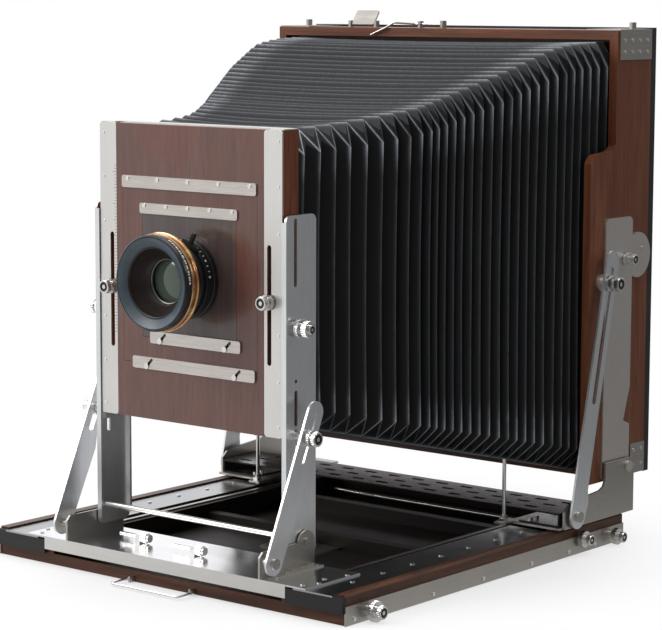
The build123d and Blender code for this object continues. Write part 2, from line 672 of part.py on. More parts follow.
for bar, (bar_x, bar_z, bar_length) in LOCK_BARS.items():
    with BuildPart() as lock_bar:
        with BuildSketch(forward(0, -FRAME_FACE - 0.2, 0)):
            with Locations((bar_x, bar_z)):
                RectangleRounded(bar_length, LOCK_BAR_W, 3)
            for guide in lock_bar_screws(bar):
                shift = LOCK_BAR_TRAVEL / 2 / math.sqrt(2)
                with Locations((guide.origin.X + shift, guide.origin.Z + shift)):
                    SlotCenterToCenter(LOCK_BAR_TRAVEL, 3.8, rotation=45, mode=Mode.SUBTRACT)
        extrude(amount=2.4)
    save(lock_bar, f"{bar}_lock_bar")

for side, word in ((1, "right"), (-1, "left")):
    knob = stacked_knob(
        forward(side * RISE_KNOB_X, -FRAME_FACE - 0.4, RISE_KNOB_Z),
        ((6.0, 2.0, 0), (9.5, 4.5, 26), (6.0, 3.0, 0), (8.5, 5.0, 22)),
        bore=STUD_R + RUNNING,
        bore_depth=10,
    )
    save(knob, f"rise_knob_{word}")


# Lens in a leaf shutter
def ring(profile):
    """Turned ring about the lens axis from (distance forward, radius) corners."""
    with BuildPart() as turned:
        with BuildSketch(Plane.YZ):
            with BuildLine():
                Polyline(*[(-y, LENS_Z + r) for y, r in profile], close=True)
            make_face()
        revolve(axis=Axis((0, 0, LENS_Z), (0, 1, 0)), revolution_arc=360)
    return turned


GROOVE = (240.0, 245.0)
save(
    ring(
        (
            (FRAME_FACE, 28),
            (FRAME_FACE, SHUTTER_R),
            (GROOVE[0], SHUTTER_R),
            (GROOVE[0], 49),
            (GROOVE[1], 49),
            (GROOVE[1], SHUTTER_R),
            (SHUTTER_FRONT, SHUTTER_R),
            (SHUTTER_FRONT, 28),
        )
    ),
    "shutter_case",
)
FRONT_CELL = (
    (SHUTTER_FRONT, 29),
    (SHUTTER_FRONT, 47),
    (259, 47),
    (265, HOOD_R - 3),
    (272, HOOD_R),
    (HOOD_FRONT - 1.5, HOOD_R),
    (HOOD_FRONT, HOOD_R - 2),
    (HOOD_FRONT, 44.5),
    (HOOD_FRONT - 8, 41),
    (HOOD_FRONT - 14, 37),
    (HOOD_FRONT - 22, 34),
    (HOOD_FRONT - 22, 32.2),
    (256, 32.2),
    (256, 29),
)
REAR_CELL = (
    (FRAME_FACE, 24),
    (FRAME_FACE, MOUNT_R),
    (FRAME_FACE - LENS_BOARD_T, MOUNT_R),
    (FRAME_FACE - LENS_BOARD_T, 39),
    (FRAME_FACE - LENS_BOARD_T - 3, 39),
    (FRAME_FACE - LENS_BOARD_T - 3, 34),
    (195, 34),
    (190, 30),
    (190, 24),
)
with BuildPart() as lens_cells:
    add(ring(FRONT_CELL).part)
    add(ring(REAR_CELL).part)
save(lens_cells, "lens_cells")


def element(front, edge_t, radius, bulge):
    """Glass element: a disc with a stepped bulge on its front face."""
    with BuildSketch(Plane.YZ) as section:
        with BuildLine():
            Polyline(
                (-front, LENS_Z),
                (-front + bulge + edge_t, LENS_Z),
                (-front + bulge + edge_t, LENS_Z + radius),
                (-front + bulge, LENS_Z + radius),
                (-front + bulge * 0.3, LENS_Z + radius * 0.6),
                (-front, LENS_Z + radius * 0.25),
                close=True,
            )
        make_face()
    revolve(section.sketch, axis=Axis((0, 0, LENS_Z), (0, 1, 0)), revolution_arc=360)


with BuildPart() as lens_glass:
    element(262, 3, 32.1, 3)
    element(203, 3, 23.9, 3)
save(lens_glass, "lens_glass")


LEVER_ROOT_R = 51.5


def groove_lever(angle, span, reach):
    """Lever on an arc-shaped shoe that runs in the groove round the shutter."""
    with BuildPart() as lever:
        with BuildSketch(forward(0, -GROOVE[0] - 0.6, LENS_Z)):
            with BuildLine():
                inner, outer = 49.06, 53.8
                a0, a1 = angle - span, angle + span
                CenterArc((0, 0), inner, a0, 2 * span)
                CenterArc((0, 0), outer, a0, 2 * span)
                for a in (a0, a1):
                    Line(
                        (inner * math.cos(math.radians(a)), inner * math.sin(math.radians(a))),
                        (outer * math.cos(math.radians(a)), outer * math.sin(math.radians(a))),
                    )
            make_face()
            root_x = LEVER_ROOT_R * math.cos(math.radians(angle))
            root_y = LEVER_ROOT_R * math.sin(math.radians(angle))
            with Locations(Location((root_x, root_y, 0), (0, 0, angle))):
                with Locations((reach / 2, 0)):
                    RectangleRounded(reach, 4.5, 1.5)
        extrude(amount=3.6)
    return lever


save(groove_lever(62, 14, 15), "cocking_lever")
save(groove_lever(150, 14, 12), "aperture_lever")

# Rear carriage: slides on the bed and carries the rear standard
with BuildPart() as carriage_deck:
    with BuildSketch(Plane.XY.offset(DECK_Z)):
        with Locations((0, (DECK_FRONT + DECK_REAR) / 2)):
            Rectangle(2 * DECK_HALF, DECK_REAR - DECK_FRONT)
        for row, offset_x in ((0, 0.0), (1, 13.5), (2, 27.0)):
            with Locations((offset_x - 13.5, 182 + 23 * row)):
                with GridLocations(SLOT_PITCH, 1, 13, 1):
                    SlotOverall(20, 8, mode=Mode.SUBTRACT)
    extrude(amount=DECK_T)
    foot_top = FOOT_Z + FOOT_T
    for s in (1, -1):
        x0, x1 = sorted((s * (DECK_HALF - DECK_T), s * DECK_HALF))
        block(x0, x1, DECK_FRONT, DECK_REAR, foot_top, DECK_Z)
        x0, x1 = sorted((s * DECK_FLANGE_INNER, s * DECK_HALF))
        block(x0, x1, DECK_FRONT, DECK_REAR, foot_top, foot_top + DECK_T)
    DECK_NUTS = [upward(s * DECK_NUT_X, y, foot_top + DECK_T) for s in (1, -1) for y in (176, 190, 232)]
    holes(DECK_NUTS, 1.5, 4)
save(carriage_deck, "carriage_deck")

LOCK_ROD = (211.0, 152.0)
with BuildPart() as rear_brackets:
    for side in (1, -1):
        with BuildSketch(across(side, REAR_BRACKET_X, 3)):
            with BuildLine():
                Polyline(
                    (168, FOOT_Z),
                    (332, FOOT_Z),
                    (332, 100),
                    (328, 112),
                    (263, 112),
                    (263, 90),
                    (259, 82),
                    (250, 78),
                    (198, 74),
                    (178, 70),
                    (168, 62),
                    close=True,
                )
            make_face()
            with Locations(REAR_PIVOT):
                Circle(PIVOT_R + RUNNING, mode=Mode.SUBTRACT)
        extrude(amount=3)
        x0, x1 = sorted((side * RAIL_INNER, side * REAR_BRACKET_X))
        block(x0, x1, 160, 332, FOOT_Z, FOOT_Z + FOOT_T)
        x0, x1 = sorted((side * (LOCK_ROD[0] - 9), side * (LOCK_ROD[0] + 9)))
        block(x0, x1, LOCK_ROD[1] - 9, 175, FOOT_Z, FOOT_Z + FOOT_T)
        rod(upward(side * LOCK_ROD[0], LOCK_ROD[1], FOOT_Z - 1), 2.5 + RUNNING, 6, mode=Mode.SUBTRACT)
        edge = REAR_BRACKET_X + 3
        rod(outward(side, edge, *REAR_STRUT_PIVOT), 6.0, REAR_STRUT_X - edge - 0.1)
        rod(outward(side, edge, *REAR_STRUT_PIVOT), STUD_R, REAR_STRUT_X - edge + STRUT_T + 0.2)
        rod(outward(side, REAR_STRUT_X + STRUT_T + 0.1, *REAR_STRUT_PIVOT), 7.0, 4)
    holes(DECK_NUTS, 1.5, 5.5)
save(rear_brackets, "rear_brackets")

save(screw_set(DECK_NUTS, head_r=4.0, head_h=3.0, shank=4.5), "deck_screws")

with BuildPart() as carriage_guides:
    for side in (1, -1):
        x0, x1 = sorted((side * LEDGE_INNER, side * (RAIL_OUTER - 0.5)))
        block(x0, x1, 208, 330, RAIL_BOTTOM, FOOT_Z)
    add(rack_pair(250, 330, REAR_SHAFT_Y, FOOT_Z).part)
save(carriage_guides, "carriage_guides")

for side, word in ((1, "right"), (-1, "left")):
    with BuildPart() as lock_rod:
        rod(upward(side * LOCK_ROD[0], LOCK_ROD[1], 36.2), 2.5, 95)
        with BuildSketch(Plane.XY.offset(FOOT_Z + FOOT_T + 0.1)):
            with Locations((side * LOCK_ROD[0], LOCK_ROD[1])):
                RegularPolygon(7.0, 6)
        extrude(amount=4.5)
        rod(upward(side * LOCK_ROD[0], LOCK_ROD[1], FOOT_Z + FOOT_T + 4.6), 4.5, 4)
    save(lock_rod, f"lock_rod_{word}")

# Rear standard: hardwood box frame on metal side plates, with the focusing back
with BuildPart() as rear_frame:
    block(-BED_HALF, BED_HALF, BACK_FRONT, BACK_REAR, BACK_BOTTOM, BACK_TOP)
    inner = BED_HALF - BACK_WALL
    block(-inner, inner, BACK_FRONT - 1, 305, BACK_BOTTOM + 5, BACK_TOP - BACK_WALL, mode=Mode.SUBTRACT)
    block(-262, 262, 300, BACK_REAR + 1, BACK_BOTTOM + 18, BACK_TOP - 24, mode=Mode.SUBTRACT)
    for side in (1, -1):
        with BuildSketch(across(side, inner + 1, BED_HALF - inner - 1)):
            with BuildLine():
                cheek = Polyline(
                    (BACK_FRONT, 527),
                    (BACK_FRONT, BACK_BOTTOM),
                    (230, BACK_BOTTOM),
                    (230, 505),
                )
                Spline(cheek @ 1, (240, 514), (BACK_FRONT - 12, 519), cheek @ 0)
            make_face()
        extrude(amount=BED_HALF - inner - 1)
save(rear_frame, "rear_frame")

LOBE = (341.0, 380.0)
LOBE_KNOB = (309.0, 377.0)
with BuildPart() as rear_plates:
    for side in (1, -1):
        with BuildSketch(across(side, BED_HALF, 3)):
            with BuildLine():
                Polyline(
                    (263, 90),
                    (263, 426),
                    (265, 430),
                    (269, 432),
                    (321, 432),
                    (325, 430),
                    (327, 426),
                    (327, 207),
                    (312, 162),
                    (327, 156),
                    (327, 90),
                    (322, 87),
                    (268, 87),
                    close=True,
                )
            make_face()
            with Locations(LOBE):
                Circle(30)
            with Locations(REAR_STRUT_STUD):
                Circle(11)
            with Locations(REAR_PIVOT):
                Circle(14)
        extrude(amount=3)
        edge = BED_HALF + 3
        rod(outward(side, edge, *REAR_PIVOT), 8.0, REAR_BRACKET_X - edge - 0.1)
        rod(outward(side, edge, *REAR_PIVOT), PIVOT_R, REAR_BRACKET_X - edge + 3.3)
        rod(outward(side, REAR_BRACKET_X + 3.2, *REAR_PIVOT), 7.5, 3.5)
        rod(outward(side, edge, *REAR_STRUT_STUD), 6.0, REAR_STRUT_X - edge - 0.2)
        rod(outward(side, edge, *REAR_STRUT_STUD), STUD_R, REAR_STRUT_X - edge + 14)
        rod(outward(side, edge, *LOBE_KNOB), STUD_R, 12)
        rod(outward(side, edge, 352, 388), 2.6, 1)
save(rear_plates, "rear_plates")

save(
    strut_pair(
        REAR_STRUT_X, REAR_STRUT_PIVOT, REAR_STRUT_STUD, 16.0, 14.0, 332.0, (150, 322), 8.4, (20, 19.5)
    ),
    "rear_struts",
)
for side, word in ((1, "right"), (-1, "left")):
    knob = stacked_knob(
        outward(side, REAR_STRUT_X + STRUT_T + 0.4, *REAR_STRUT_STUD),
        ((7.5, 2.0, 0), (11.5, 5.0, 30), (6.5, 3.0, 0), (9.5, 5.0, 26)),
        bore=STUD_R + RUNNING,
        bore_depth=11.5,
    )
    save(knob, f"rear_strut_knob_{word}")
    knob = stacked_knob(
        outward(side, BED_HALF + 3.4, *LOBE_KNOB),
        ((6.0, 3.0, 0), (8.5, 5.0, 26), (5.0, 3.0, 0), (7.0, 4.0, 22)),
        bore=STUD_R + RUNNING,
        bore_depth=12,
    )
    save(knob, f"shift_knob_{word}")

CORNER_T = 1.5
CORNER_SCREW_PLACES = [
    *((BACK_FRONT + 16 + 18 * i, z) for i in range(4) for z in (646, 661)),
    *((y, z) for y in (341, 360) for z in (98, 118)),
]
CORNER_SCREWS = [outward(s, BED_HALF + CORNER_T, y, z) for s in (1, -1) for y, z in CORNER_SCREW_PLACES]
LATCH_AXIS = (334.0, BACK_TOP + 5.0)
with BuildPart() as corner_plates:
    for s in (1, -1):
        x0, x1 = sorted((s * BED_HALF, s * (BED_HALF + CORNER_T)))
        block(x0, x1, 292, BACK_REAR - 1, 636, BACK_TOP)
        block(x0, x1, 333, BACK_REAR - 1, 87, 127)
        t0, t1 = sorted((s * 235, s * (BED_HALF + CORNER_T)))
        block(t0, t1, 292, BACK_REAR - 1, BACK_TOP, BACK_TOP + CORNER_T)
    holes(CORNER_SCREWS, 1.5, 6)
    for x, y in ((-268, 332), (272, 345), (-20, 322)):
        rod(upward(x, y, BACK_TOP), 4.5, 10)
    for x in (-194, -148, -70, -30):
        block(x, x + 4, LATCH_AXIS[0] - 4, LATCH_AXIS[0] + 4, BACK_TOP, LATCH_AXIS[1] + 4)
        rod(outward(1, x - 1, *LATCH_AXIS), 1.5 + RUNNING, 8, mode=Mode.SUBTRACT)
save(corner_plates, "corner_plates_and_posts")

with BuildPart() as corner_screws:
    for plane in CORNER_SCREWS:
        rod(plane, 2.4, 1.0)
        rod(plane, 1.5, -CORNER_T)
save(corner_screws, "corner_screws")

with BuildPart() as back_frame:
    block(-BED_HALF, BED_HALF, BACK_REAR + 0.2, 381, BACK_BOTTOM - 1, BACK_TOP + 3)
    screen_z = (BACK_BOTTOM + BACK_TOP) / 2
    block(
        -SCREEN_W / 2,
        SCREEN_W / 2,
        BACK_REAR,
        382,
        screen_z - SCREEN_H / 2,
        screen_z + SCREEN_H / 2,
        mode=Mode.SUBTRACT,
    )
    block(
        -SCREEN_W / 2 - 6,
        SCREEN_W / 2 + 6,
        BACK_REAR,
        374,
        screen_z - SCREEN_H / 2 - 6,
        screen_z + SCREEN_H / 2 + 6,
        mode=Mode.SUBTRACT,
    )
save(back_frame, "back_frame")

with BuildPart() as ground_glass:
    block(
        -SCREEN_W / 2 - 5.5,
        SCREEN_W / 2 + 5.5,
        371,
        374,
        screen_z - SCREEN_H / 2 - 5.5,
        screen_z + SCREEN_H / 2 + 5.5,
    )
save(ground_glass, "ground_glass")

# Latches on top of the rear frame that hold the back
with BuildPart() as back_latch:
    tilt = Plane(origin=(0, *LATCH_AXIS), x_dir=(1, 0, 0), z_dir=(0, -0.82, 0.57))
    with BuildSketch(tilt):
        with Locations((-169, 9)):
            RectangleRounded(40, 24, 3)
    extrude(amount=2)
    rod(outward(1, -194, *LATCH_AXIS), 1.5, 50)
save(back_latch, "back_latch")

with BuildPart() as bail_hook:
    with BuildLine() as hook_path:
        FilletPolyline(
            (-25, *LATCH_AXIS),
            (-78, *LATCH_AXIS),
            (-82, 292, BACK_TOP + 7),
            (-90, 283, BACK_TOP),
            (-116, 283, BACK_TOP - 10),
            radius=3.0,
        )
    with BuildSketch(Plane(origin=(-25, *LATCH_AXIS), z_dir=(-1, 0, 0))):
        Circle(1.5)
    sweep(path=hook_path.line, transition=Transition.ROUND)
save(bail_hook, "bail_hook")

# Bellows envelope: the space the pleated cloth takes up, open at both ends
BELLOWS = (
    (-188.8, 143.0, 207.0, 557.0),
    (-60.0, 157.0, 180.0, 566.0),
    (10.0, 180.0, 163.0, 577.0),
    (115.0, 237.0, 140.0, 619.0),
    (200.0, 262.0, 122.0, 652.0),
    (299.5, 271.0, 105.0, 659.0),
)


def bellows_shell(inset, mode):
    """Straight-sided loft through the bellows stations, shrunk by inset."""
    sections = []
    for y, half, low, high in BELLOWS:
        with BuildSketch(Plane.XZ.offset(-y)) as station:
            with Locations((0, (low + high) / 2)):
                Rectangle(2 * (half - inset), high - low - 2 * inset)
        sections.append(station.sketch)
    loft(sections, ruled=True, mode=mode)


with BuildPart() as bellows:
    bellows_shell(0, Mode.ADD)
    bellows_shell(5, Mode.SUBTRACT)
save(bellows, "bellows")
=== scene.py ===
import math
import random

import bpy
from mathutils import Matrix, Vector


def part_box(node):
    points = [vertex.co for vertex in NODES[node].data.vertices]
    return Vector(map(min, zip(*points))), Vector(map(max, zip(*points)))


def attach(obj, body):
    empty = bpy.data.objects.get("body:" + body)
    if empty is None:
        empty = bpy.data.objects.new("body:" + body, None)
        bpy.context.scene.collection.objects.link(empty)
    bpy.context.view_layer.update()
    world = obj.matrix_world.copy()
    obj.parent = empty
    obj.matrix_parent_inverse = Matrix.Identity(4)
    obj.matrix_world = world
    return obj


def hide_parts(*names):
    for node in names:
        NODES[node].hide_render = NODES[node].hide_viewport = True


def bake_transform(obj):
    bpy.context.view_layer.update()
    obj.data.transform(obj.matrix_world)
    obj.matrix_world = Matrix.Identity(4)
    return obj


# The looks of a large view camera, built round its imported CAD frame, on the CAD's own axes.
# Scene units are metres; tables and profiles in millimetres are multiplied by MM where used.
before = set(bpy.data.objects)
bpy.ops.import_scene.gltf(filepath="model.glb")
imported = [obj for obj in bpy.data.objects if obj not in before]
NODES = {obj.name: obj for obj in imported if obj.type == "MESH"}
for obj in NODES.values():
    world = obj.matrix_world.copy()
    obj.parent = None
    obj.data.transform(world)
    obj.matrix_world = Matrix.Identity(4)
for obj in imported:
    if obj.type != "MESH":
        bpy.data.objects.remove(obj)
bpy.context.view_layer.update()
MM = 0.001
random.seed(7)


# ---------------------------------------------------------------- materials
class Graph:
    """A material's node tree, with short calls to add and join nodes."""

    def __init__(self, name):
        self.material = bpy.data.materials.new(name)
        self.material.use_nodes = True
        self.tree = self.material.node_tree
        self.bsdf = self.tree.nodes["Principled BSDF"]
        self.coords = self.add("ShaderNodeTexCoord").outputs["Object"]

    def add(self, kind, settings=None, **inputs):
        node = self.tree.nodes.new(kind)
        for key, value in (settings or {}).items():
            setattr(node, key, value)
        for key, value in inputs.items():
            self.put(node, key.replace("_", " "), value)
        return node

    def put(self, node, key, value):
        """Sets an input to a constant, or joins it to another node's output."""
        socket = node.inputs[key]
        if isinstance(value, bpy.types.NodeSocket):
            self.tree.links.new(value, socket)
        else:
            socket.default_value = value

    def set(self, **inputs):
        for key, value in inputs.items():
            self.put(self.bsdf, key.replace("_", " "), value)

    def scaled(self, sx, sy, sz):
        """Object coordinates stretched by a factor per axis."""
        mapping = self.add("ShaderNodeMapping", Vector=self.coords, Scale=(sx, sy, sz))
        return mapping.outputs["Vector"]

    def noise(self, vector, scale, detail=4.0, roughness=0.55, distortion=0.0):
        node = self.add(
            "ShaderNodeTexNoise",
            Vector=vector,
            Scale=scale,
            Detail=detail,
            Roughness=roughness,
            Distortion=distortion,
        )
        return node.outputs["Fac"]

    def ramp(self, value, stops):
        """Colour ramp from (position, colour) stops; a colour may be a single grey value."""
        node = self.add("ShaderNodeValToRGB", Fac=value)
        ramp = node.color_ramp
        while len(ramp.elements) < len(stops):
            ramp.elements.new(0.5)
        for element, (position, colour) in zip(ramp.elements, stops):
            element.position = position
            grey = isinstance(colour, (int, float))
            element.color = (colour, colour, colour, 1) if grey else (*colour, 1)
        return node.outputs["Color"]

    def mix(self, factor, a, b, blend="MIX"):
        node = self.tree.nodes.new("ShaderNodeMix")
        node.data_type = "RGBA"
        node.blend_type = blend
        for index, value in ((0, factor), (6, a), (7, b)):
            if isinstance(value, bpy.types.NodeSocket):
                self.tree.links.new(value, node.inputs[index])
            elif index == 0:
                node.inputs[index].default_value = value
            else:
                node.inputs[index].default_value = (*value, 1) if len(value) == 3 else value
        return node.outputs[2]

    def math(self, operation, a, b=0.0):
        node = self.tree.nodes.new("ShaderNodeMath")
        node.operation = operation
        for index, value in enumerate((a, b)):
            if isinstance(value, bpy.types.NodeSocket):
                self.tree.links.new(value, node.inputs[index])
            else:
                node.inputs[index].default_value = value
        return node.outputs[0]

    def bump(self, height, distance, strength=1.0, normal=None):
        node = self.add("ShaderNodeBump", Height=height, Distance=distance, Strength=strength)
        if normal is not None:
            self.put(node, "Normal", normal)
        return node.outputs["Normal"]


WOOD_STRETCH = 0.06
PORE_STRETCH = 0.03
BRUSH_STRETCH = 0.02


def along(axis, factor):
    """Scale factors that draw a pattern out along one axis."""
    return [factor if axis == a else 1 for a in "xyz"]


def wood(name, grain, dark, mid, light, rough=0.36, coat=0.35, flame=None, shine=0.3):
    """Oiled hardwood: streaks and short dark pores along the grain, and redder clouds if given."""
    g = Graph(name)
    stretched = g.scaled(*along(grain, WOOD_STRETCH))
    fine = g.scaled(*along(grain, PORE_STRETCH))
    streak = g.noise(stretched, scale=95.0, detail=6.0, roughness=0.62, distortion=0.6)
    broad = g.noise(stretched, scale=22.0, detail=3.0, roughness=0.5, distortion=1.2)
    pore = g.noise(fine, scale=900.0, detail=2.0, roughness=0.6)
    base = g.ramp(streak, ((0.28, dark), (0.52, mid), (0.78, light)))
    tinted = g.mix(g.ramp(broad, ((0.3, 0.0), (0.75, 0.75))), base, dark)
    if flame:
        tall = g.scaled(1, 1, 0.55)
        cloud = g.noise(tall, scale=13.0, detail=5.0, roughness=0.62, distortion=0.8)
        tinted = g.mix(g.ramp(cloud, ((0.48, 0.0), (0.74, 0.7))), tinted, flame)
    pores = g.ramp(pore, ((0.36, 0.0), (0.46, 1.0)))
    in_pore = g.math("MULTIPLY", g.math("SUBTRACT", 1.0, pores), 0.4)
    colour = g.mix(in_pore, tinted, [c * 0.35 for c in dark])
    roughness = g.ramp(broad, ((0.2, rough - 0.06), (0.8, rough + 0.1)))
    normal = g.bump(pores, distance=0.06 * MM, strength=0.6)
    normal = g.bump(streak, distance=0.12 * MM, strength=0.35, normal=normal)
    g.set(Base_Color=colour, Roughness=roughness, Normal=normal)
    g.set(Coat_Weight=coat, Coat_Roughness=0.14, Specular_IOR_Level=shine)
    return g.material


def brushed(name, grain, colour, rough=0.34, contrast=0.12, anisotropy=0.4):
    """Satin sheet metal with a fine brushed grain, faint smudges and slightly uneven tone."""
    g = Graph(name)
    drawn = g.scaled(*along(grain, BRUSH_STRETCH))
    lines = g.noise(drawn, scale=1400.0, detail=3.0, roughness=0.7)
    smudge = g.noise(g.coords, scale=16.0, detail=4.0, roughness=0.6)
    dark = [c * (1 - contrast) for c in colour]
    light = [min(1.0, c * (1 + contrast * 0.7)) for c in colour]
    tone = g.mix(g.ramp(lines, ((0.3, 0.0), (0.7, 1.0))), dark, light)
    tone = g.mix(g.ramp(smudge, ((0.35, 0.0), (0.8, 0.22))), tone, [c * 0.72 for c in colour])
    roughness = g.math("ADD", g.math("MULTIPLY", lines, 0.14), g.math("MULTIPLY", smudge, 0.12))
    roughness = g.math("ADD", roughness, rough - 0.13)
    g.set(Base_Color=tone, Metallic=1.0, Roughness=roughness, Anisotropic=anisotropy)
    g.set(Normal=g.bump(lines, distance=0.02 * MM, strength=0.35))
    return g.material


def polished(name, colour, rough):
    """Polished steel with fine handling wear."""
    g = Graph(name)
    haze = g.noise(g.coords, scale=60.0, detail=5.0, roughness=0.65)
    scratch = g.noise(g.scaled(1, 1, 0.1), scale=1500.0, detail=2.0, roughness=0.5)
    roughness = g.math("ADD", g.math("MULTIPLY", haze, 0.18), rough - 0.06)
    tone = g.mix(g.ramp(haze, ((0.3, 0.0), (0.8, 0.3))), colour, [c * 0.7 for c in colour])
    g.set(Base_Color=tone, Metallic=1.0, Roughness=roughness)
    g.set(Normal=g.bump(scratch, distance=0.01 * MM, strength=0.3))
    return g.material


def gilt(name):
    """Gold-plated band, copper in places, with pale patches painted in as glints."""
    g = Graph(name)
    patch = g.noise(g.coords, scale=42.0, detail=3.0, roughness=0.55)
    haze = g.noise(g.coords, scale=160.0, detail=4.0, roughness=0.6)
    copper, gold, glint_yellow = (0.50, 0.26, 0.13), (0.66, 0.40, 0.19), (0.95, 0.74, 0.34)
    # Painted glints: the palest patches stand in for highlights; copper and gold are the band's
    # own uneven tone
    tone = g.ramp(patch, ((0.36, copper), (0.55, gold), (0.68, glint_yellow)))
    roughness = g.math("ADD", g.math("MULTIPLY", haze, 0.2), 0.12)
    g.set(Base_Color=tone, Metallic=1.0, Roughness=roughness)
    return g.material


def black_finish(name, colour, rough, metallic=0.0, grain=1200.0, depth=0.02 * MM):
    """Black anodised or painted surface with a fine grain and slightly paler patches of wear."""
    g = Graph(name)
    fine = g.noise(g.coords, scale=grain, detail=2.0, roughness=0.6)
    wear = g.noise(g.coords, scale=35.0, detail=5.0, roughness=0.65)
    pale = [min(1, c * 2.6 + 0.01) for c in colour]
    tone = g.mix(g.ramp(wear, ((0.5, 0.0), (0.85, 0.5))), colour, pale)
    roughness = g.math("ADD", g.math("MULTIPLY", wear, 0.2), rough - 0.1)
    g.set(Base_Color=tone, Metallic=metallic, Roughness=roughness)
    g.set(Normal=g.bump(fine, distance=depth, strength=0.5))
    return g.material


def bellows_cloth():
    """Black leathercloth with a fine pebbled grain; the blue-grey along the fold edges is painted
    highlight together with rubbing wear, and the valleys get painted shade.
    """
    g = Graph("bellows_leathercloth")
    edge = g.add("ShaderNodeAttribute", {"attribute_name": "fold_edge"}).outputs["Fac"]
    edge_breakup = g.noise(g.scaled(1, 1, 0.25), scale=260.0, detail=4.0, roughness=0.7)
    dust = g.noise(g.coords, scale=9.0, detail=4.0, roughness=0.6)
    grain = g.add("ShaderNodeTexVoronoi", Vector=g.coords, Scale=1500.0).outputs["Distance"]
    base = g.ramp(dust, ((0.3, (0.0028, 0.0031, 0.0042)), (0.75, (0.0075, 0.0084, 0.0105))))
    # Painted shade: the cloth colour is darkened towards the fold valleys, down to 0.35 of itself
    # at the bottom of a fold
    valley_shade = g.math("ADD", 0.35, g.math("MULTIPLY", edge, 0.65))
    base = g.mix(1.0, base, g.ramp(valley_shade, ((0.0, 0.0), (1.0, 1.0))), "MULTIPLY")
    # Painted highlight together with rubbing wear: pale blue-grey along each fold ridge, broken up
    # by noise, and a little glossier there
    edge_highlight_and_wear = g.math("MULTIPLY", g.math("POWER", edge, 12.0), g.ramp(edge_breakup, ((0.25, 0.45), (0.7, 1.0))))
    colour = g.mix(edge_highlight_and_wear, base, (0.46, 0.49, 0.53))
    roughness = g.math("SUBTRACT", 0.58, g.math("MULTIPLY", edge_highlight_and_wear, 0.14))
    g.set(Base_Color=colour, Roughness=roughness, Specular_IOR_Level=0.28)
    g.set(Sheen_Weight=0.06, Sheen_Roughness=0.4, Sheen_Tint=(0.7, 0.8, 0.9, 1.0))
    g.set(Normal=g.bump(grain, distance=0.08 * MM, strength=0.5))
    return g.material


def coated_glass(name, tint, rough):
    """Dark glass with a faint green coating and uneven depth."""
    g = Graph(name)
    depth = g.noise(g.coords, scale=25.0, detail=2.0)
    colour = g.mix(g.ramp(depth, ((0.3, 0.0), (0.8, 0.4))), tint, [c * 0.6 for c in tint])
    g.set(Base_Color=colour, Roughness=rough, Metallic=0.0, IOR=1.5, Specular_IOR_Level=0.5)
    g.set(Coat_Weight=0.6, Coat_Roughness=0.03, Coat_Tint=(0.75, 1.0, 0.85, 1.0))
    return g.material


def ground_screen():
    """Finely ground glass with a soft grey-green depth."""
    g = Graph("ground_glass_screen")
    grain = g.noise(g.coords, scale=2500.0, detail=2.0, roughness=0.6)
    cloud = g.noise(g.coords, scale=5.0, detail=3.0)
    colour = g.ramp(cloud, ((0.3, (0.50, 0.54, 0.53)), (0.7, (0.62, 0.66, 0.64))))
    g.set(Base_Color=colour, Roughness=0.42, Specular_IOR_Level=0.6)
    g.set(Normal=g.bump(grain, distance=0.02 * MM, strength=0.5))
    g.set(Coat_Weight=0.5, Coat_Roughness=0.12)
    return g.material


BED_TONES = ((0.034, 0.010, 0.004), (0.100, 0.034, 0.012), (0.150, 0.055, 0.022))
FRONT_TONES = ((0.070, 0.017, 0.006), (0.185, 0.050, 0.018), (0.270, 0.085, 0.032))
REAR_TONES = ((0.110, 0.030, 0.012), (0.190, 0.062, 0.026), (0.270, 0.105, 0.050))
DARK_TONES = ((0.008, 0.005, 0.004), (0.018, 0.011, 0.008), (0.032, 0.019, 0.013))
BLACK_TONES = ((0.008, 0.008, 0.009), (0.016, 0.016, 0.0175), (0.028, 0.028, 0.030))
PANEL_TONES = ((0.110, 0.046, 0.036), (0.150, 0.068, 0.054), (0.185, 0.092, 0.076))
BOARD_TONES = ((0.068, 0.044, 0.040), (0.096, 0.068, 0.063), (0.122, 0.092, 0.086))
PANEL_FLAME = (0.175, 0.052, 0.034)
# Keyed by the axis the grain runs along
BED_WOOD = {a: wood(f"bed_hardwood_{a}", a, *BED_TONES, coat=0.08) for a in "xy"}
INNER_WOOD = {a: wood(f"inner_hardwood_{a}", a, *DARK_TONES, rough=0.5, coat=0.0) for a in "xy"}
FRONT_WOOD = {a: wood(f"front_hardwood_{a}", a, *FRONT_TONES, coat=0.08) for a in "xz"}
REAR_WOOD = {a: wood(f"rear_hardwood_{a}", a, *REAR_TONES, coat=0.1) for a in "xz"}
PANEL = wood(
    "panel_hardwood", "z", *PANEL_TONES, rough=0.3, coat=0.6, flame=PANEL_FLAME, shine=0.4
)
BOARD = wood("board_hardwood", "z", *BOARD_TONES, rough=0.26, coat=0.6, shine=0.45)
BLACK_WOOD = {a: wood(f"black_hardwood_{a}", a, *BLACK_TONES, rough=0.42, coat=0.2) for a in "xyz"}
COOL_METAL = (0.84, 0.85, 0.865)
WARM_METAL = (0.50, 0.475, 0.435)
PLATE_METAL = (0.95, 0.95, 0.96)
BAR_METAL = (0.66, 0.615, 0.575)
CAP_METAL = (0.44, 0.445, 0.455)
BRIGHT_METAL = (0.78, 0.765, 0.735)
REAR_METAL = (0.74, 0.70, 0.66)
SCREW_METAL = (0.84, 0.83, 0.81)
KNOB_METAL = (0.80, 0.795, 0.78)
LEVER_TONE = (0.02, 0.02, 0.021)
FLOOR_TONE = (0.016, 0.012, 0.010)
TITANIUM = {a: brushed(f"satin_titanium_{a}", a, COOL_METAL) for a in "yz"}
WARM_TITANIUM = {a: brushed(f"warm_titanium_{a}", a, WARM_METAL) for a in "xy"}
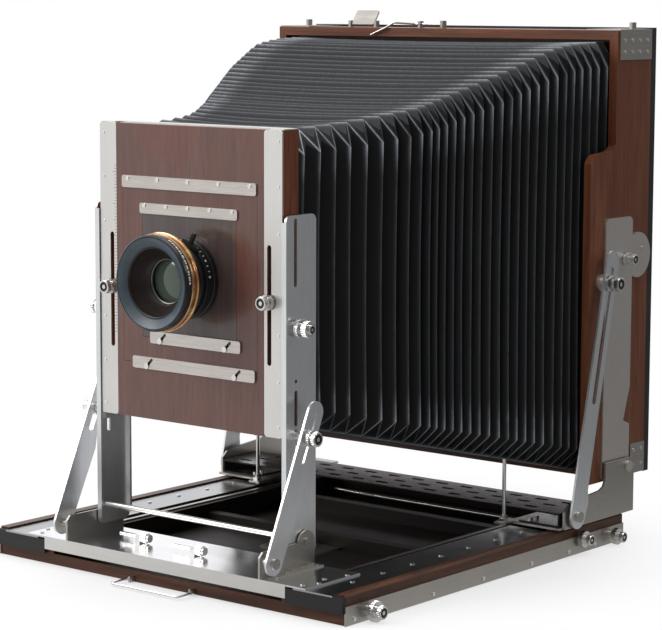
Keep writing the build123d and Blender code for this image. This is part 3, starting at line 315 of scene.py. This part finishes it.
CAP = {a: brushed(f"track_cap_{a}", a, CAP_METAL, rough=0.24, contrast=0.08) for a in "xy"}
BRIGHT = {
    a: brushed(f"bright_steel_{a}", a, BRIGHT_METAL, rough=0.36, contrast=0.06) for a in "xz"
}
PLATE = brushed("cross_plate_x", "x", PLATE_METAL, rough=0.19, contrast=0.04)
REAR_PLATE = brushed("rear_plate_titanium", "z", REAR_METAL, rough=0.38, contrast=0.08)
BAR = brushed("bar_steel", "x", BAR_METAL, rough=0.3, contrast=0.2)
SCREW_STEEL = polished("screw_steel", SCREW_METAL, rough=0.2)
KNOB_STEEL = polished("knob_steel", KNOB_METAL, rough=0.13)
LEVER_BLACK = black_finish("lever_black", LEVER_TONE, rough=0.3)
FLOOR_BLACK = black_finish(
    "bed_floor_black", FLOOR_TONE, rough=0.5, grain=500.0, depth=0.04 * MM
)
CLOTH = bellows_cloth()
SCREEN = ground_screen()


def bevel(obj, width, segments=2, angle=32):
    """Rounds a piece's sharp edges so that they catch the light."""
    modifier = obj.modifiers.new("edge_round", "BEVEL")
    modifier.width = width
    modifier.segments = segments
    modifier.limit_method = "ANGLE"
    modifier.angle_limit = math.radians(angle)
    modifier.harden_normals = True
    return modifier


def dress(node, materials, choose=None, width=0.4 * MM):
    """Gives a CAD node its material, or one material per face as choose(centre, normal) says."""
    obj = NODES[node]
    obj.data.materials.clear()
    for material in materials if isinstance(materials, (list, tuple)) else [materials]:
        obj.data.materials.append(material)
    for face in obj.data.polygons:
        face.material_index = choose(face.center, face.normal) if choose else 0
    if width:
        bevel(obj, width)


# ---------------------------------------------------------------- mesh helpers
SHARP_ANGLE = 35


def new_mesh(name, points, faces, material, smooth=True):
    """A mesh piece from points in metres; smooth shading keeps sharp edges sharp."""
    data = bpy.data.meshes.new(name)
    data.from_pydata([tuple(p) for p in points], [], faces)
    data.validate()
    data.materials.append(material)
    obj = bpy.data.objects.new(name, data)
    bpy.context.scene.collection.objects.link(obj)
    if smooth:
        data.shade_smooth()
        data.set_sharp_from_angle(angle=math.radians(SHARP_ANGLE))
    return obj


def axis_frame(origin, direction):
    """Matrix that takes local +Z to a direction at an origin (metres)."""
    turn = Vector(direction).normalized().to_track_quat("Z", "Y").to_matrix().to_4x4()
    return Matrix.Translation(origin) @ turn


def turned(name, profile, place, material, steps, radius_at=None):
    """Closed surface of revolution from (radius, height) pairs in millimetres about place's Z."""
    points, faces = [], []
    for row, (radius, height) in enumerate(profile):
        for i in range(steps):
            turn = 2 * math.pi * i / steps
            r = radius_at(row, radius, turn) if radius_at else radius
            local = Vector((r * math.cos(turn) * MM, r * math.sin(turn) * MM, height * MM))
            points.append(place @ local)
    rows = len(profile)
    for row in range(rows):
        a, b = row * steps, ((row + 1) % rows) * steps
        for i in range(steps):
            j = (i + 1) % steps
            faces.append((a + i, a + j, b + j, b + i))
    return new_mesh(name, points, faces, material)


# ---------------------------------------------------------------- CAD nodes
SIDE_RAIL_X = 0.271
STRINGER_INNER_X = 0.189
STRINGER_OUTER_X = 0.2
FRONT_STRIP_Y = -0.2519
TRACK_BLOCK_Y = -0.2675
FRONT_POST_X = 0.100
REAR_POST_X = 0.262
BACK_POST_X = 0.255


def wood_by_post(limit):
    """Upright grain beyond |x| = limit, level grain between."""
    return lambda centre, normal: 0 if abs(centre.x) > limit else 1


def bed_grain(centre, normal):
    """Side rails in red wood, inner stringers and cross members in dark wood."""
    if abs(centre.x) > SIDE_RAIL_X:
        return 0
    front_strip = centre.y < FRONT_STRIP_Y
    if abs(centre.x) < STRINGER_OUTER_X and not front_strip:
        return 3 if abs(normal.x) > 0.5 or abs(centre.x) > STRINGER_INNER_X else 2
    return 1 if front_strip else 3


def end_blocks(centre, normal):
    """Level grain in the blocks at the tracks' front ends."""
    return 1 if centre.y < TRACK_BLOCK_Y else 0


def front_edges(centre, normal):
    """Second material on the faces that look forward."""
    return 1 if normal.y < -0.7 else 0


def sheet_edges(centre, normal):
    """Second material on the edges of a level sheet."""
    return 1 if abs(normal.z) < 0.3 else 0


BED_WOODS = [BED_WOOD["y"], BED_WOOD["x"], INNER_WOOD["x"], INNER_WOOD["y"]]
dress("bed_frame", BED_WOODS, bed_grain, width=0.5 * MM)
dress("floor_panel", FLOOR_BLACK)
dress("tripod_plate", WARM_TITANIUM["x"])
dress("side_plates_and_lugs", WARM_TITANIUM["y"], width=0.3 * MM)
dress("track_rails", [BLACK_WOOD["y"], BLACK_WOOD["x"]], end_blocks, width=0.5 * MM)
dress("track_caps_and_racks", CAP["y"], width=0.25 * MM)
dress("cross_plate", [PLATE, BRIGHT["x"]], front_edges, width=0.4 * MM)
dress("front_brackets", WARM_TITANIUM["y"], width=0.4 * MM)
dress("front_uprights", TITANIUM["z"], width=0.5 * MM)
dress("tie_rod_and_sliders", BRIGHT["x"], width=0.3 * MM)
dress("front_struts", TITANIUM["z"], width=0.5 * MM)
FRONT_WOODS = [FRONT_WOOD["z"], FRONT_WOOD["x"]]
dress("front_frame", FRONT_WOODS, wood_by_post(FRONT_POST_X), width=0.8 * MM)
dress("face_strips_and_studs", BRIGHT["z"], width=0.3 * MM)
dress("lens_panel", PANEL, width=0.3 * MM)
dress("outer_board", PANEL, width=0.5 * MM)
dress("lens_board", BOARD, width=0.5 * MM)
dress("retaining_bars_and_rise_studs", BAR, width=0.3 * MM)
dress("inner_lock_bar", BAR, width=0.3 * MM)
dress("outer_lock_bar", BAR, width=0.3 * MM)
dress("carriage_deck", [CAP["x"], INNER_WOOD["x"]], sheet_edges, width=0.3 * MM)
dress("rear_brackets", WARM_TITANIUM["y"], width=0.4 * MM)
dress("carriage_guides", TITANIUM["y"], width=0.3 * MM)
REAR_WOODS = [REAR_WOOD["z"], REAR_WOOD["x"]]
dress("rear_frame", REAR_WOODS, wood_by_post(REAR_POST_X), width=1.0 * MM)
dress("rear_plates", REAR_PLATE, width=0.4 * MM)
dress("rear_struts", TITANIUM["z"], width=0.5 * MM)
dress("corner_plates_and_posts", WARM_TITANIUM["y"], width=0.3 * MM)
BACK_WOODS = [BLACK_WOOD["z"], BLACK_WOOD["x"]]
dress("back_frame", BACK_WOODS, wood_by_post(BACK_POST_X), width=1.0 * MM)
dress("ground_glass", SCREEN, width=0.3 * MM)
dress("back_latch", WARM_TITANIUM["x"], width=0.3 * MM)
for node in (
    "side_plate_screws",
    "track_screws",
    "strip_screws",
    "board_screws",
    "deck_screws",
    "corner_screws",
    "spare_lock_screws",
):
    dress(node, SCREW_STEEL, width=0.3 * MM)
for node in NODES:
    if any(word in node for word in ("knob", "drive", "carriage_lock", "lock_rod")):
        dress(node, KNOB_STEEL, width=0.35 * MM)
for node in ("bail_handle", "bail_hook"):
    dress(node, SCREW_STEEL, width=0.2 * MM)
for node in ("cocking_lever", "aperture_lever"):
    dress(node, LEVER_BLACK, width=0.2 * MM)


# ---------------------------------------------------------------- bellows
# Millimetres. TOP, BOTTOM, HALF and LEFT_BULGE give a height or a width against Y; the corner
# tables give each cut corner's width and height against Y
FOLD_START = -189.0
FOLD_END = 298.0
WIDE_PLEATS = 9
WIDE_PITCH = 30.0
WIDE_STEP = -1.75
TIGHT_PLEATS = 21
TIGHT_PITCH = 9.0
LEG = 18.0
TOP = ((-189, 557), (-70, 566), (20, 580), (115, 620), (200, 652), (240, 658), (298, 660))
BOTTOM = ((-189, 206), (270, 95), (298, 93))
HALF = ((-189, 145), (-95, 149), (20, 186), (115, 238), (200, 263), (298, 272))
LEFT_BULGE = ((-189, 0), (-49, 0), (6, 15), (50, 16), (100, 8), (200, 7), (285, 0), (298, 0))
KINK_REACH = 12.0
TOP_CORNER = ((-189, 23, 28), (298, 14, 36))
LOW_CORNER = ((-189, 20, 24), (298, 26, 30))
TOP_SAG = 3.5
LOW_SAG = 1.5
SIDE_SAG = 2.0
CUT_MARKS = (-129.0, -9.0, 121.0, 201.0)
# The section has eight spans: four sides cut into SIDE_CUTS, and a corner after each
SPANS = 8
SIDE_CUTS = 16
RING_SIZE = 4 * (SIDE_CUTS + 1)
TOP_SPAN = 2
LOW_SPAN = 6
SIDE_SPANS = (0, 4)
SIDE_CORNERS = (1, 5)
# Unevenness of the folds: SLACK is a share of the pitch, WAVE_TURN is in radians along a span,
# and the line share gives the fold edge its strength on a fold away from its corners, where it is
# 1: it damps the painted edge highlight and rubbing wear there
SLACK = 0.09
TOP_LIFT = 0.9
WAVE_TURN = 5.0
WAVE_SIZE = 0.5
CORNER_SHARE = 0.1
LINE_EDGE_SHARE = 0.90
FOLD_ROUND = 0.7 * MM


def between(value, table, column=1):
    """Straight-line interpolation of one column in a table of (key, value, ...) rows."""
    for low, high in zip(table, table[1:]):
        if value <= high[0]:
            share = max(0.0, (value - low[0]) / (high[0] - low[0]))
            return low[column] + (high[column] - low[column]) * share
    return table[-1][column]


def eased(value, table):
    """The same table, smoothed over its kinks."""
    samples = [between(value + KINK_REACH * k, table) for k in (-1, -0.5, 0, 0.5, 1)]
    return sum(samples) / len(samples)


def fold_positions():
    """Y of every valley, front to back: wide drawn-out pleats, then tight ones that open."""
    ys = [FOLD_START]
    for i in range(WIDE_PLEATS):
        ys.append(ys[-1] + WIDE_PITCH + WIDE_STEP * i)
    rest = FOLD_END - ys[-1]
    growth = 2 * (rest - TIGHT_PLEATS * TIGHT_PITCH) / (TIGHT_PLEATS * (TIGHT_PLEATS - 1))
    for i in range(TIGHT_PLEATS):
        ys.append(ys[-1] + TIGHT_PITCH + growth * i)
    return ys


def bellows_ring(y, out, depth):
    """Points (x, z, span, share) round the section at y; out is 1 where the sides fold outward."""
    half, top, low = eased(y, HALF), eased(y, TOP), between(y, BOTTOM)
    side_in, flat_in = depth * (1 - out), depth * out
    x_side, z_top, z_low = half - side_in, top - flat_in, low + flat_in
    bulge = eased(y, LEFT_BULGE)
    x_top = half - between(y, TOP_CORNER) + flat_in
    z_high = top - between(y, TOP_CORNER, 2) + side_in
    x_low = half - between(y, LOW_CORNER) + flat_in
    z_foot = low + between(y, LOW_CORNER, 2) - side_in
    spans = (
        (x_side, z_foot, x_side, z_high, SIDE_CUTS),
        (x_side, z_high, x_top, z_top, 1),
        (x_top, z_top, -x_top - bulge, z_top, SIDE_CUTS),
        (-x_top - bulge, z_top, -x_side - bulge, z_high, 1),
        (-x_side - bulge, z_high, -x_side, z_foot, SIDE_CUTS),
        (-x_side, z_foot, -x_low, z_low, 1),
        (-x_low, z_low, x_low, z_low, SIDE_CUTS),
        (x_low, z_low, x_side, z_foot, 1),
    )
    points = []
    for index, (x0, z0, x1, z1, count) in enumerate(spans):
        for i in range(count):
            share = i / count
            sag = 4 * share * (1 - share)
            x, z = x0 + (x1 - x0) * share, z0 + (z1 - z0) * share
            if index == TOP_SPAN:
                z -= TOP_SAG * sag
            if index == LOW_SPAN:
                z -= LOW_SAG * sag
            if index in SIDE_SPANS:
                x -= math.copysign(SIDE_SAG * sag, x)
            points.append((x, z, index, share))
    return points


def build_bellows():
    """Pleated cloth in five lengths, cut at the fold valleys nearest the cut marks."""
    valleys = fold_positions()
    stations = []
    for y0, y1 in zip(valleys, valleys[1:]):
        depth = math.sqrt(LEG**2 - ((y1 - y0) / 2) ** 2)
        slack = SLACK * (y1 - y0)
        wave = []
        for _ in range(SPANS):
            shift, phase = random.uniform(-slack, slack), random.uniform(0, 6.3)
            wave.append((shift, phase, random.uniform(0.4, 1.0)))
        stations.append((y0, 0.0, depth, wave))
        stations.append(((y0 + y1) / 2, 1.0, depth, wave))
    stations.append((valleys[-1], 0.0, stations[-1][2], [(0, 0, 0)] * SPANS))
    cuts = [min(valleys, key=lambda v: abs(v - m)) for m in CUT_MARKS]
    edges = [valleys[0], *cuts, valleys[-1]]
    corner_starts = {(SIDE_CUTS + 1) * k + SIDE_CUTS: 2 * k + 1 for k in range(4)}
    for number, (start, end) in enumerate(zip(edges, edges[1:])):
        part = [s for s in stations if start - 0.01 <= s[0] <= end + 0.01]
        points, faces, edge_values = [], [], []
        for y, out, depth, wave in part:
            for x, z, index, share in bellows_ring(y, out, depth):
                shift, phase, height = wave[index]
                ridge = out if index in SIDE_SPANS + SIDE_CORNERS else 1 - out
                bend = shift + WAVE_SIZE * height * math.sin(phase + WAVE_TURN * share)
                free = 0.0 if y in edges else math.sin(math.pi * share)
                lift = TOP_LIFT * shift * free if index == TOP_SPAN else 0.0
                points.append((x * MM, (y + bend * free) * MM, (z + lift) * MM))
                near_corner = index % 2 == 1 or not CORNER_SHARE <= share <= 1 - CORNER_SHARE
                edge_values.append(ridge if near_corner else ridge * LINE_EDGE_SHARE)
        for row in range(len(part) - 1):
            here, ahead = row * RING_SIZE, (row + 1) * RING_SIZE
            for i in range(RING_SIZE):
                j = (i + 1) % RING_SIZE
                a, b, c, d = here + i, here + j, ahead + j, ahead + i
                if i not in corner_starts:
                    faces.append((a, b, c, d))
                    continue
                first_is_side = corner_starts[i] in SIDE_CORNERS
                front_out = part[row][1] > 0.5
                ridge_on_a = front_out == first_is_side
                faces += [(a, b, c), (a, c, d)] if ridge_on_a else [(a, b, d), (b, c, d)]
        obj = new_mesh(f"bellows_pleats_{number + 1}", points, faces, CLOTH, smooth=False)
        attribute = obj.data.attributes.new("fold_edge", "FLOAT", "POINT")
        attribute.data.foreach_set("value", edge_values)
        fold = bevel(obj, FOLD_ROUND, angle=30)
        fold.harden_normals = False
        obj.data.shade_smooth()
        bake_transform(obj)
        if number == 0:
            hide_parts("bellows")


build_bellows()


# ---------------------------------------------------------------- lens
# Profiles are (radius, distance forward of the CAD origin) in millimetres; HOOD scales the radii
# of the rings in front
HOOD = 0.959
SHUTTER_LOW, SHUTTER_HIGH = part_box("shutter_case")
LENS_AXIS = axis_frame(Vector((0, 0, (SHUTTER_LOW.z + SHUTTER_HIGH.z) / 2)), (0, -1, 0))
LENS_BLACK = black_finish("lens_black_anodised", (0.010, 0.010, 0.011), rough=0.3)
LENS_BEZEL = black_finish(
    "lens_bezel_blue_grey", (0.050, 0.072, 0.092), rough=0.38, grain=1500.0
)
LENS_RING = black_finish("lens_ring_grey", (0.10, 0.10, 0.10), rough=0.3, metallic=0.6)
GOLD = gilt("lens_gold_band")
ENGRAVED = black_finish("engraved_white", (0.75, 0.75, 0.74), rough=0.5)
BARREL_BROWN = black_finish("lens_inner_bronze", (0.030, 0.022, 0.019), rough=0.35)
GLASS = coated_glass("coated_front_glass", (0.085, 0.095, 0.080), rough=0.12)


def lens_ring(name, profile, material, grip=None, steps=192, scale=1.0):
    """Ring about the lens axis; grip = (rows, flutes, depth) flutes those rows of the profile."""
    profile = [(radius * scale, height) for radius, height in profile]

    def fluted(row, radius, turn):
        if not grip or row not in grip[0]:
            return radius
        _, flutes, depth = grip
        return radius - depth * (0.5 - 0.5 * math.cos(turn * flutes))

    obj = turned(name, profile, LENS_AXIS, material, steps, fluted)
    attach(obj, "panel")
    return obj


shutter = lens_ring(
    "lens_shutter",
    (
        (29, 219.2), (47.4, 219.2), (49, 220.5), (49, 226), (48.2, 226.6), (48.2, 228.4),
        (49, 229), (49, 239.4), (48.4, 240), (46.2, 240), (46.2, 245), (48.4, 245),
        (49, 245.6), (49, 248.6), (47.6, 250), (44, 250), (29, 250),
    ),
    LENS_BLACK,
)
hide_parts("shutter_case")
body = lens_ring(
    "lens_front_barrel",
    (
        (29, 250), (43.2, 250), (43.8, 250.6), (43.8, 252.8), (43.0, 253.4), (43.0, 254.4),
        (43.8, 255), (43.8, 262.0), (50, 264.0), (50, 266), (31.5, 259), (29, 257),
    ),
    LENS_BLACK,
    steps=240,
)
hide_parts("lens_cells")
lens_ring(
    "lens_gold_band",
    (
        (44, 262.0), (59.5, 262.6), (61.4, 263.4), (62.6, 264.8), (62.9, 266.2), (62.6, 267.4),
        (60.9, 268.2), (60.6, 269.4), (62.2, 270.2), (62.4, 272.4), (61.8, 275.4),
        (60.8, 276.2), (50, 276.2), (44, 266),
    ),
    GOLD,
    scale=HOOD,
)
lens_ring(
    "lens_front_ring",
    (
        (48, 276.3), (60.4, 276.3), (61.0, 276.9), (61.0, 283.6), (60.3, 285.6), (58.8, 286.8),
        (57.9, 286.8), (57.5, 286.2), (45.8, 281.0), (44.9, 281.0), (43.9, 279.7),
        (43.2, 279.3), (42.8, 277.4), (46, 275),
    ),
    LENS_BLACK,
    scale=HOOD,
)
lens_ring(
    "lens_bezel",
    ((57.4, 286.1), (57.3, 286.55), (46.1, 281.45), (45.7, 280.9)),
    LENS_BEZEL,
    scale=HOOD,
)
lens_ring(
    "lens_inner_cone",
    (
        (42.8, 278.8), (42.2, 276.2), (34.2, 262.6), (30.6, 257.6), (30.0, 257.2),
        (29.4, 255.6), (28.0, 254.6), (28.0, 250), (34.5, 250), (36.4, 258), (43.8, 277),
    ),
    BARREL_BROWN,
    scale=HOOD,
)
lens_ring(
    "lens_retaining_ring",
    ((27.6, 254.4), (28.6, 255.0), (29.2, 256.0), (28.8, 256.6), (27.3, 256.0), (26.9, 255.0)),
    LENS_RING,
    scale=HOOD,
)
lens_ring(
    "lens_rear_cell",
    (
        (24, 219.2), (32, 219.2), (32, 215), (39, 215), (39.6, 214.4), (39.6, 212.6),
        (39, 212), (34, 212), (34, 196), (33, 195), (30.4, 190.6), (29.6, 190), (26, 190),
        (24, 192),
    ),
    LENS_BLACK,
    grip=((4, 5, 6), 48, 0.7),
)


GLASS_THICK = 3.0
AXIS_RADIUS = 0.01


def dome(name, base, radius, rise, material, rows=14, steps=96):
    """Bulging glass surface facing forward, with a flat back."""
    profile = [(radius, base - GLASS_THICK), (radius, base)]
    for i in range(1, rows + 1):
        share = 1 - i / rows
        profile.append((max(radius * share, AXIS_RADIUS), base + rise * (1 - share**2)))
    profile.append((AXIS_RADIUS, base - GLASS_THICK))
    obj = turned(name, profile, LENS_AXIS, material, steps)
    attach(obj, "panel")
    return obj


front_glass = dome("lens_front_glass", base=251.2, radius=26.5, rise=5.0, material=GLASS)
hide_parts("lens_glass")
dome("lens_rear_glass", base=194.0, radius=23.8, rise=1.5, material=GLASS)


MARK_PROUD = 0.12
MARK_SUNK = -0.3
MARK_STEP = 1.5
MARK_CORNERS = ((MARK_PROUD, -0.5), (MARK_PROUD, 0.5), (MARK_SUNK, 0.5), (MARK_SUNK, -0.5))


def ring_marks(name, radius, height, spans, width):
    """Short painted dashes round a lens ring, from (angle, length) pairs; millimetres, degrees."""
    points, faces = [], []
    for angle, length in spans:
        steps = max(2, int(length / MARK_STEP))
        base = len(points)
        for i in range(steps + 1):
            turn = math.radians(angle) + (i / steps - 0.5) * length / radius
            for proud, side in MARK_CORNERS:
                r, h = radius + proud, height + side * width
                local = Vector((r * math.cos(turn) * MM, r * math.sin(turn) * MM, h * MM))
                points.append(LENS_AXIS @ local)
        for i in range(steps):
            a, b = base + 4 * i, base + 4 * (i + 1)
            for k in range(4):
                m = (k + 1) % 4
                faces.append((a + k, a + m, b + m, b + k))
        faces.append((base, base + 3, base + 2, base + 1))
        last = base + 4 * steps
        faces.append((last, last + 1, last + 2, last + 3))
    obj = new_mesh(name, points, faces, ENGRAVED, smooth=False)
    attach(obj, "panel")


# Plain dashes stand where lettering or a maker's engraving would be
RUN_RADIUS = 60.0


def dash_run(start, end, lengths, gap):
    """Angles and lengths of a run of dashes, spaced in millimetres on RUN_RADIUS."""
    spans, angle, index = [], start, 0
    while angle < end:
        length = lengths[index % len(lengths)]
        spans.append((angle, length))
        angle += math.degrees((length + gap) / RUN_RADIUS)
        index += 1
    return spans


RING_DASHES = dash_run(4, 66, (2.6, 1.6, 3.2, 2.0), gap=1.2)
SHUTTER_DASHES = [(a, 2.6 if i % 3 == 0 else 1.0) for i, a in enumerate(range(8, 96, 8))]
BARREL_DASHES = [(a, 1.4) for a in range(-40, 81, 9)]
ring_marks("lens_ring_dashes", 61.0 * HOOD, 280.2, RING_DASHES, width=2.6)
ring_marks("shutter_scale_dashes", 49.0, 234.5, SHUTTER_DASHES, width=3.0)
ring_marks("barrel_scale_dashes", 43.8, 258.4, BARREL_DASHES, width=1.4)


# ---------------------------------------------------------------- rise scale, without numbers
BOX_FACES = ((0, 1, 3, 2), (4, 6, 7, 5), (0, 4, 5, 1), (2, 3, 7, 6), (0, 2, 6, 4), (1, 5, 7, 3))
TICK_BLACK = black_finish("engraved_black", (0.02, 0.02, 0.02), rough=0.5)
TICK_COUNT = 53
TICK_PITCH = 4.0
TICK_LENGTHS = ((10, 6.0), (5, 4.5), (1, 3.0))
TICK_SIDES = (-0.25, 0.25)
TICK_FIRST_Z = 300
TICK_END_X = -121.4
STRIP_FACE_Y = -219.0
TICK_Y = (STRIP_FACE_Y - 0.06, STRIP_FACE_Y + 0.2)


def rise_scale():
    """Engraved ticks up the left face strip, longer at every fifth and tenth, as one piece."""
    points, faces = [], []
    for i in range(TICK_COUNT):
        z = TICK_FIRST_Z + TICK_PITCH * i
        length = next(size for every, size in TICK_LENGTHS if i % every == 0)
        base = len(points)
        for x in (TICK_END_X - length, TICK_END_X):
            for y in TICK_Y:
                points += [(x * MM, y * MM, (z + side) * MM) for side in TICK_SIDES]
        faces += [tuple(base + k for k in face) for face in BOX_FACES]
    obj = new_mesh("rise_scale_ticks", points, faces, TICK_BLACK, smooth=False)
    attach(obj, "front_standard")


rise_scale()


# ---------------------------------------------------------------- turned faces of the knobs
FACE_DARK = black_finish(
    "knob_socket_dark", (0.045, 0.043, 0.040), rough=0.35, metallic=0.8
)
END_DEPTH = 0.05 * MM
SOCKET = (0.3, 0.7)
# (share of the knob's radius, height in millimetres over its end); AXIS_RADIUS closes the middle
KNOB_PROFILE = (
    (0.96, -0.4), (0.96, 1.1), (0.88, 1.6), (0.72, 1.6), (0.60, 0.4), (0.34, 0.3), (0.30, 1.3),
    (0.1, 1.5),
)


def knob_face(name, node, body, direction):
    """A raised bright rim and a dark socket with a hub on the outer end of a CAD knob."""
    way = Vector(direction)
    reach = [v.co.dot(way) for v in NODES[node].data.vertices]
    tip = max(reach)
    ends = [v.co for v, r in zip(NODES[node].data.vertices, reach) if r > tip - END_DEPTH]
    middle = sum(ends, Vector()) / len(ends)
    radius = max((p - middle).length for p in ends) / MM
    profile = [(radius * share, height) for share, height in KNOB_PROFILE]
    profile += [(AXIS_RADIUS, KNOB_PROFILE[-1][1]), (AXIS_RADIUS, KNOB_PROFILE[0][1])]
    obj = turned(name, profile, axis_frame(middle, way), KNOB_STEEL, steps=40)
    obj.data.materials.append(FACE_DARK)
    for face in obj.data.polygons:
        local = face.center - middle
        out = (local - way * local.dot(way)).length / MM / radius
        if SOCKET[0] < out < SOCKET[1] and face.normal.dot(way) > 0.3:
            face.material_index = 1
    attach(obj, body)


FORWARD = (0, -1, 0)
for side, word in ((1, "right"), (-1, "left")):
    outer = (side, 0, 0)
    for face_name, node, body, direction in (
        ("tilt_knob_face", f"tilt_knob_{word}", f"tilt_knob_{word[0]}", outer),
        ("front_strut_knob_face", f"front_strut_knob_{word}", f"strut_knob_{word[0]}", outer),
        ("rear_strut_knob_face", f"rear_strut_knob_{word}", f"rear_knob_{word[0]}", outer),
        ("shift_knob_face", f"shift_knob_{word}", f"shift_knob_{word[0]}", outer),
        ("rise_knob_face", f"rise_knob_{word}", f"rise_knob_{word[0]}", FORWARD),
        ("front_drive_face", "front_focus_drive", "front_drive", outer),
        ("rear_drive_face", "rear_focus_drive", "rear_drive", outer),
        ("carriage_lock_face", f"carriage_lock_{word}", f"carriage_lock_{word[0]}", outer),
    ):
        knob_face(f"{face_name}_{word}", node, body, direction)


# ---------------------------------------------------------------- stage, light, camera
FLOOR_SIZE = 40.0
FLOOR_Z = -0.6 * MM
FADE_FROM = 0.25
FADE_TO = 0.62


def pale_stage():
    """A white floor that fades out with distance; to all other rays it is a glow, painted light
    that is bright on the left and dim on the right.
    """
    g = Graph("white_floor")
    tree = g.tree
    tone = g.noise(g.coords, scale=3.0, detail=3.0)
    g.set(Base_Color=g.ramp(tone, ((0.3, 0.87), (0.7, 0.90))))
    g.set(Roughness=0.6, Specular_IOR_Level=0.1)
    distance = g.add("ShaderNodeVectorMath", {"operation": "LENGTH"})
    tree.links.new(g.coords, distance.inputs[0])
    fade = g.add("ShaderNodeMapRange", {"interpolation_type": "SMOOTHSTEP"})
    tree.links.new(distance.outputs["Value"], fade.inputs["Value"])
    g.put(fade, "From Min", FADE_FROM)
    g.put(fade, "From Max", FADE_TO)
    g.put(fade, "To Min", 0.5)
    white = g.add("ShaderNodeEmission", Strength=1.0)
    near_to_far = g.add("ShaderNodeMixShader", Fac=fade.outputs["Result"])
    tree.links.new(g.bsdf.outputs[0], near_to_far.inputs[1])
    tree.links.new(white.outputs[0], near_to_far.inputs[2])
    split = g.add("ShaderNodeSeparateXYZ", Vector=g.coords)
    rightward = g.math("ADD", split.outputs["X"], g.math("MULTIPLY", split.outputs["Y"], 0.4))
    side = g.add("ShaderNodeMapRange", Value=rightward)
    g.put(side, "From Min", -0.6)
    g.put(side, "From Max", 0.9)
    # Painted reflection: to every ray but the camera's, the floor glows bright on the left and dim
    # on the right, and the metal reflects that glow
    reflection_glow_tone = g.ramp(side.outputs["Result"], ((0.0, 0.82), (0.5, 0.5), (1.0, 0.2)))
    reflection_glow = g.add("ShaderNodeEmission", Color=reflection_glow_tone)
    seen = g.add("ShaderNodeLightPath")
    choose = g.add("ShaderNodeMixShader", Fac=seen.outputs["Is Camera Ray"])
    tree.links.new(reflection_glow.outputs[0], choose.inputs[1])
    tree.links.new(near_to_far.outputs[0], choose.inputs[2])
    tree.links.new(choose.outputs[0], tree.nodes["Material Output"].inputs["Surface"])
    corners = ((-1, -1), (1, -1), (1, 1), (-1, 1))
    points = [(x * FLOOR_SIZE, y * FLOOR_SIZE, FLOOR_Z) for x, y in corners]
    floor = new_mesh("floor", points, [(0, 1, 2, 3)], g.material, smooth=False)


def area_light(name, place, target, size, power, colour=(1, 1, 1)):
    """Square lamp at a place, turned to face a target; metres and watts."""
    data = bpy.data.lights.new(name, "AREA")
    data.energy = power
    data.color = colour
    data.size = size
    lamp = bpy.data.objects.new(name, data)
    lamp.location = place
    aim = Vector(target) - Vector(place)
    lamp.rotation_euler = aim.to_track_quat("-Z", "Y").to_euler()
    bpy.context.scene.collection.objects.link(lamp)


SKY_AXIS = (-0.82, 0.1, 0.56)
SKY_STOPS = ((0.0, 0.10), (0.3, 0.20), (0.48, 0.34), (0.62, 0.72), (0.8, 1.0), (1.0, 1.05))
SKY_BLUE = 1.02


def studio_world():
    """White to the camera; bright on the left and dim on the right for the metal to reflect."""
    world = bpy.data.worlds.new("studio")
    bpy.context.scene.world = world
    world.use_nodes = True
    nodes, links = world.node_tree.nodes, world.node_tree.links
    nodes.clear()
    out = nodes.new("ShaderNodeOutputWorld")
    mix = nodes.new("ShaderNodeMixShader")
    path = nodes.new("ShaderNodeLightPath")
    white = nodes.new("ShaderNodeBackground")
    soft = nodes.new("ShaderNodeBackground")
    white.inputs["Color"].default_value = (1, 1, 1, 1)
    coords = nodes.new("ShaderNodeTexCoord")
    side = nodes.new("ShaderNodeVectorMath")
    side.operation = "DOT_PRODUCT"
    side.inputs[1].default_value = SKY_AXIS
    remap = nodes.new("ShaderNodeMapRange")
    remap.inputs["From Min"].default_value = -1.0
    ramp = nodes.new("ShaderNodeValToRGB")
    links.new(coords.outputs["Generated"], side.inputs[0])
    links.new(side.outputs["Value"], remap.inputs["Value"])
    links.new(remap.outputs["Result"], ramp.inputs["Fac"])
    elements = ramp.color_ramp.elements
    while len(elements) < len(SKY_STOPS):
        elements.new(0.5)
    for element, (position, value) in zip(elements, SKY_STOPS):
        element.position = position
        element.color = (value, value, value * SKY_BLUE, 1)
    links.new(ramp.outputs["Color"], soft.inputs["Color"])
    links.new(path.outputs["Is Camera Ray"], mix.inputs["Fac"])
    links.new(soft.outputs[0], mix.inputs[1])
    links.new(white.outputs[0], mix.inputs[2])
    links.new(mix.outputs[0], out.inputs["Surface"])


SENSOR_WIDTH = 36.0
FOCAL_LENGTH = 131.2
CAMERA_PLACE = (1.977136, -2.368580, 0.714211)
CAMERA_TURN = (82.52, -0.16, 39.23)


def photo_camera():
    """Camera at the reference view: 39 degrees round to the right, looking 7.5 degrees down."""
    data = bpy.data.cameras.new("view")
    data.sensor_width = SENSOR_WIDTH
    data.lens = FOCAL_LENGTH
    data.clip_end = 50.0
    cam = bpy.data.objects.new("view", data)
    cam.location = CAMERA_PLACE
    cam.rotation_euler = [math.radians(angle) for angle in CAMERA_TURN]
    bpy.context.scene.collection.objects.link(cam)
    bpy.context.scene.camera = cam


pale_stage()
studio_world()
WARM, COOL = (1.0, 0.99, 0.97), (0.97, 0.98, 1.0)
area_light("key", (-2.2, -2.4, 2.4), target=(0, 0, 0.3), size=1.8, power=62, colour=WARM)
area_light("rim", (3.0, 1.2, 2.4), target=(0, 0, 0.3), size=1.2, power=22, colour=COOL)
area_light("top", (0.0, 0.2, 3.2), target=(0, 0, 0.2), size=2.4, power=40)
photo_camera()
scene = bpy.context.scene
scene.view_settings.view_transform = "Standard"
scene.view_settings.look = "None"
scene.view_settings.exposure = 0.0
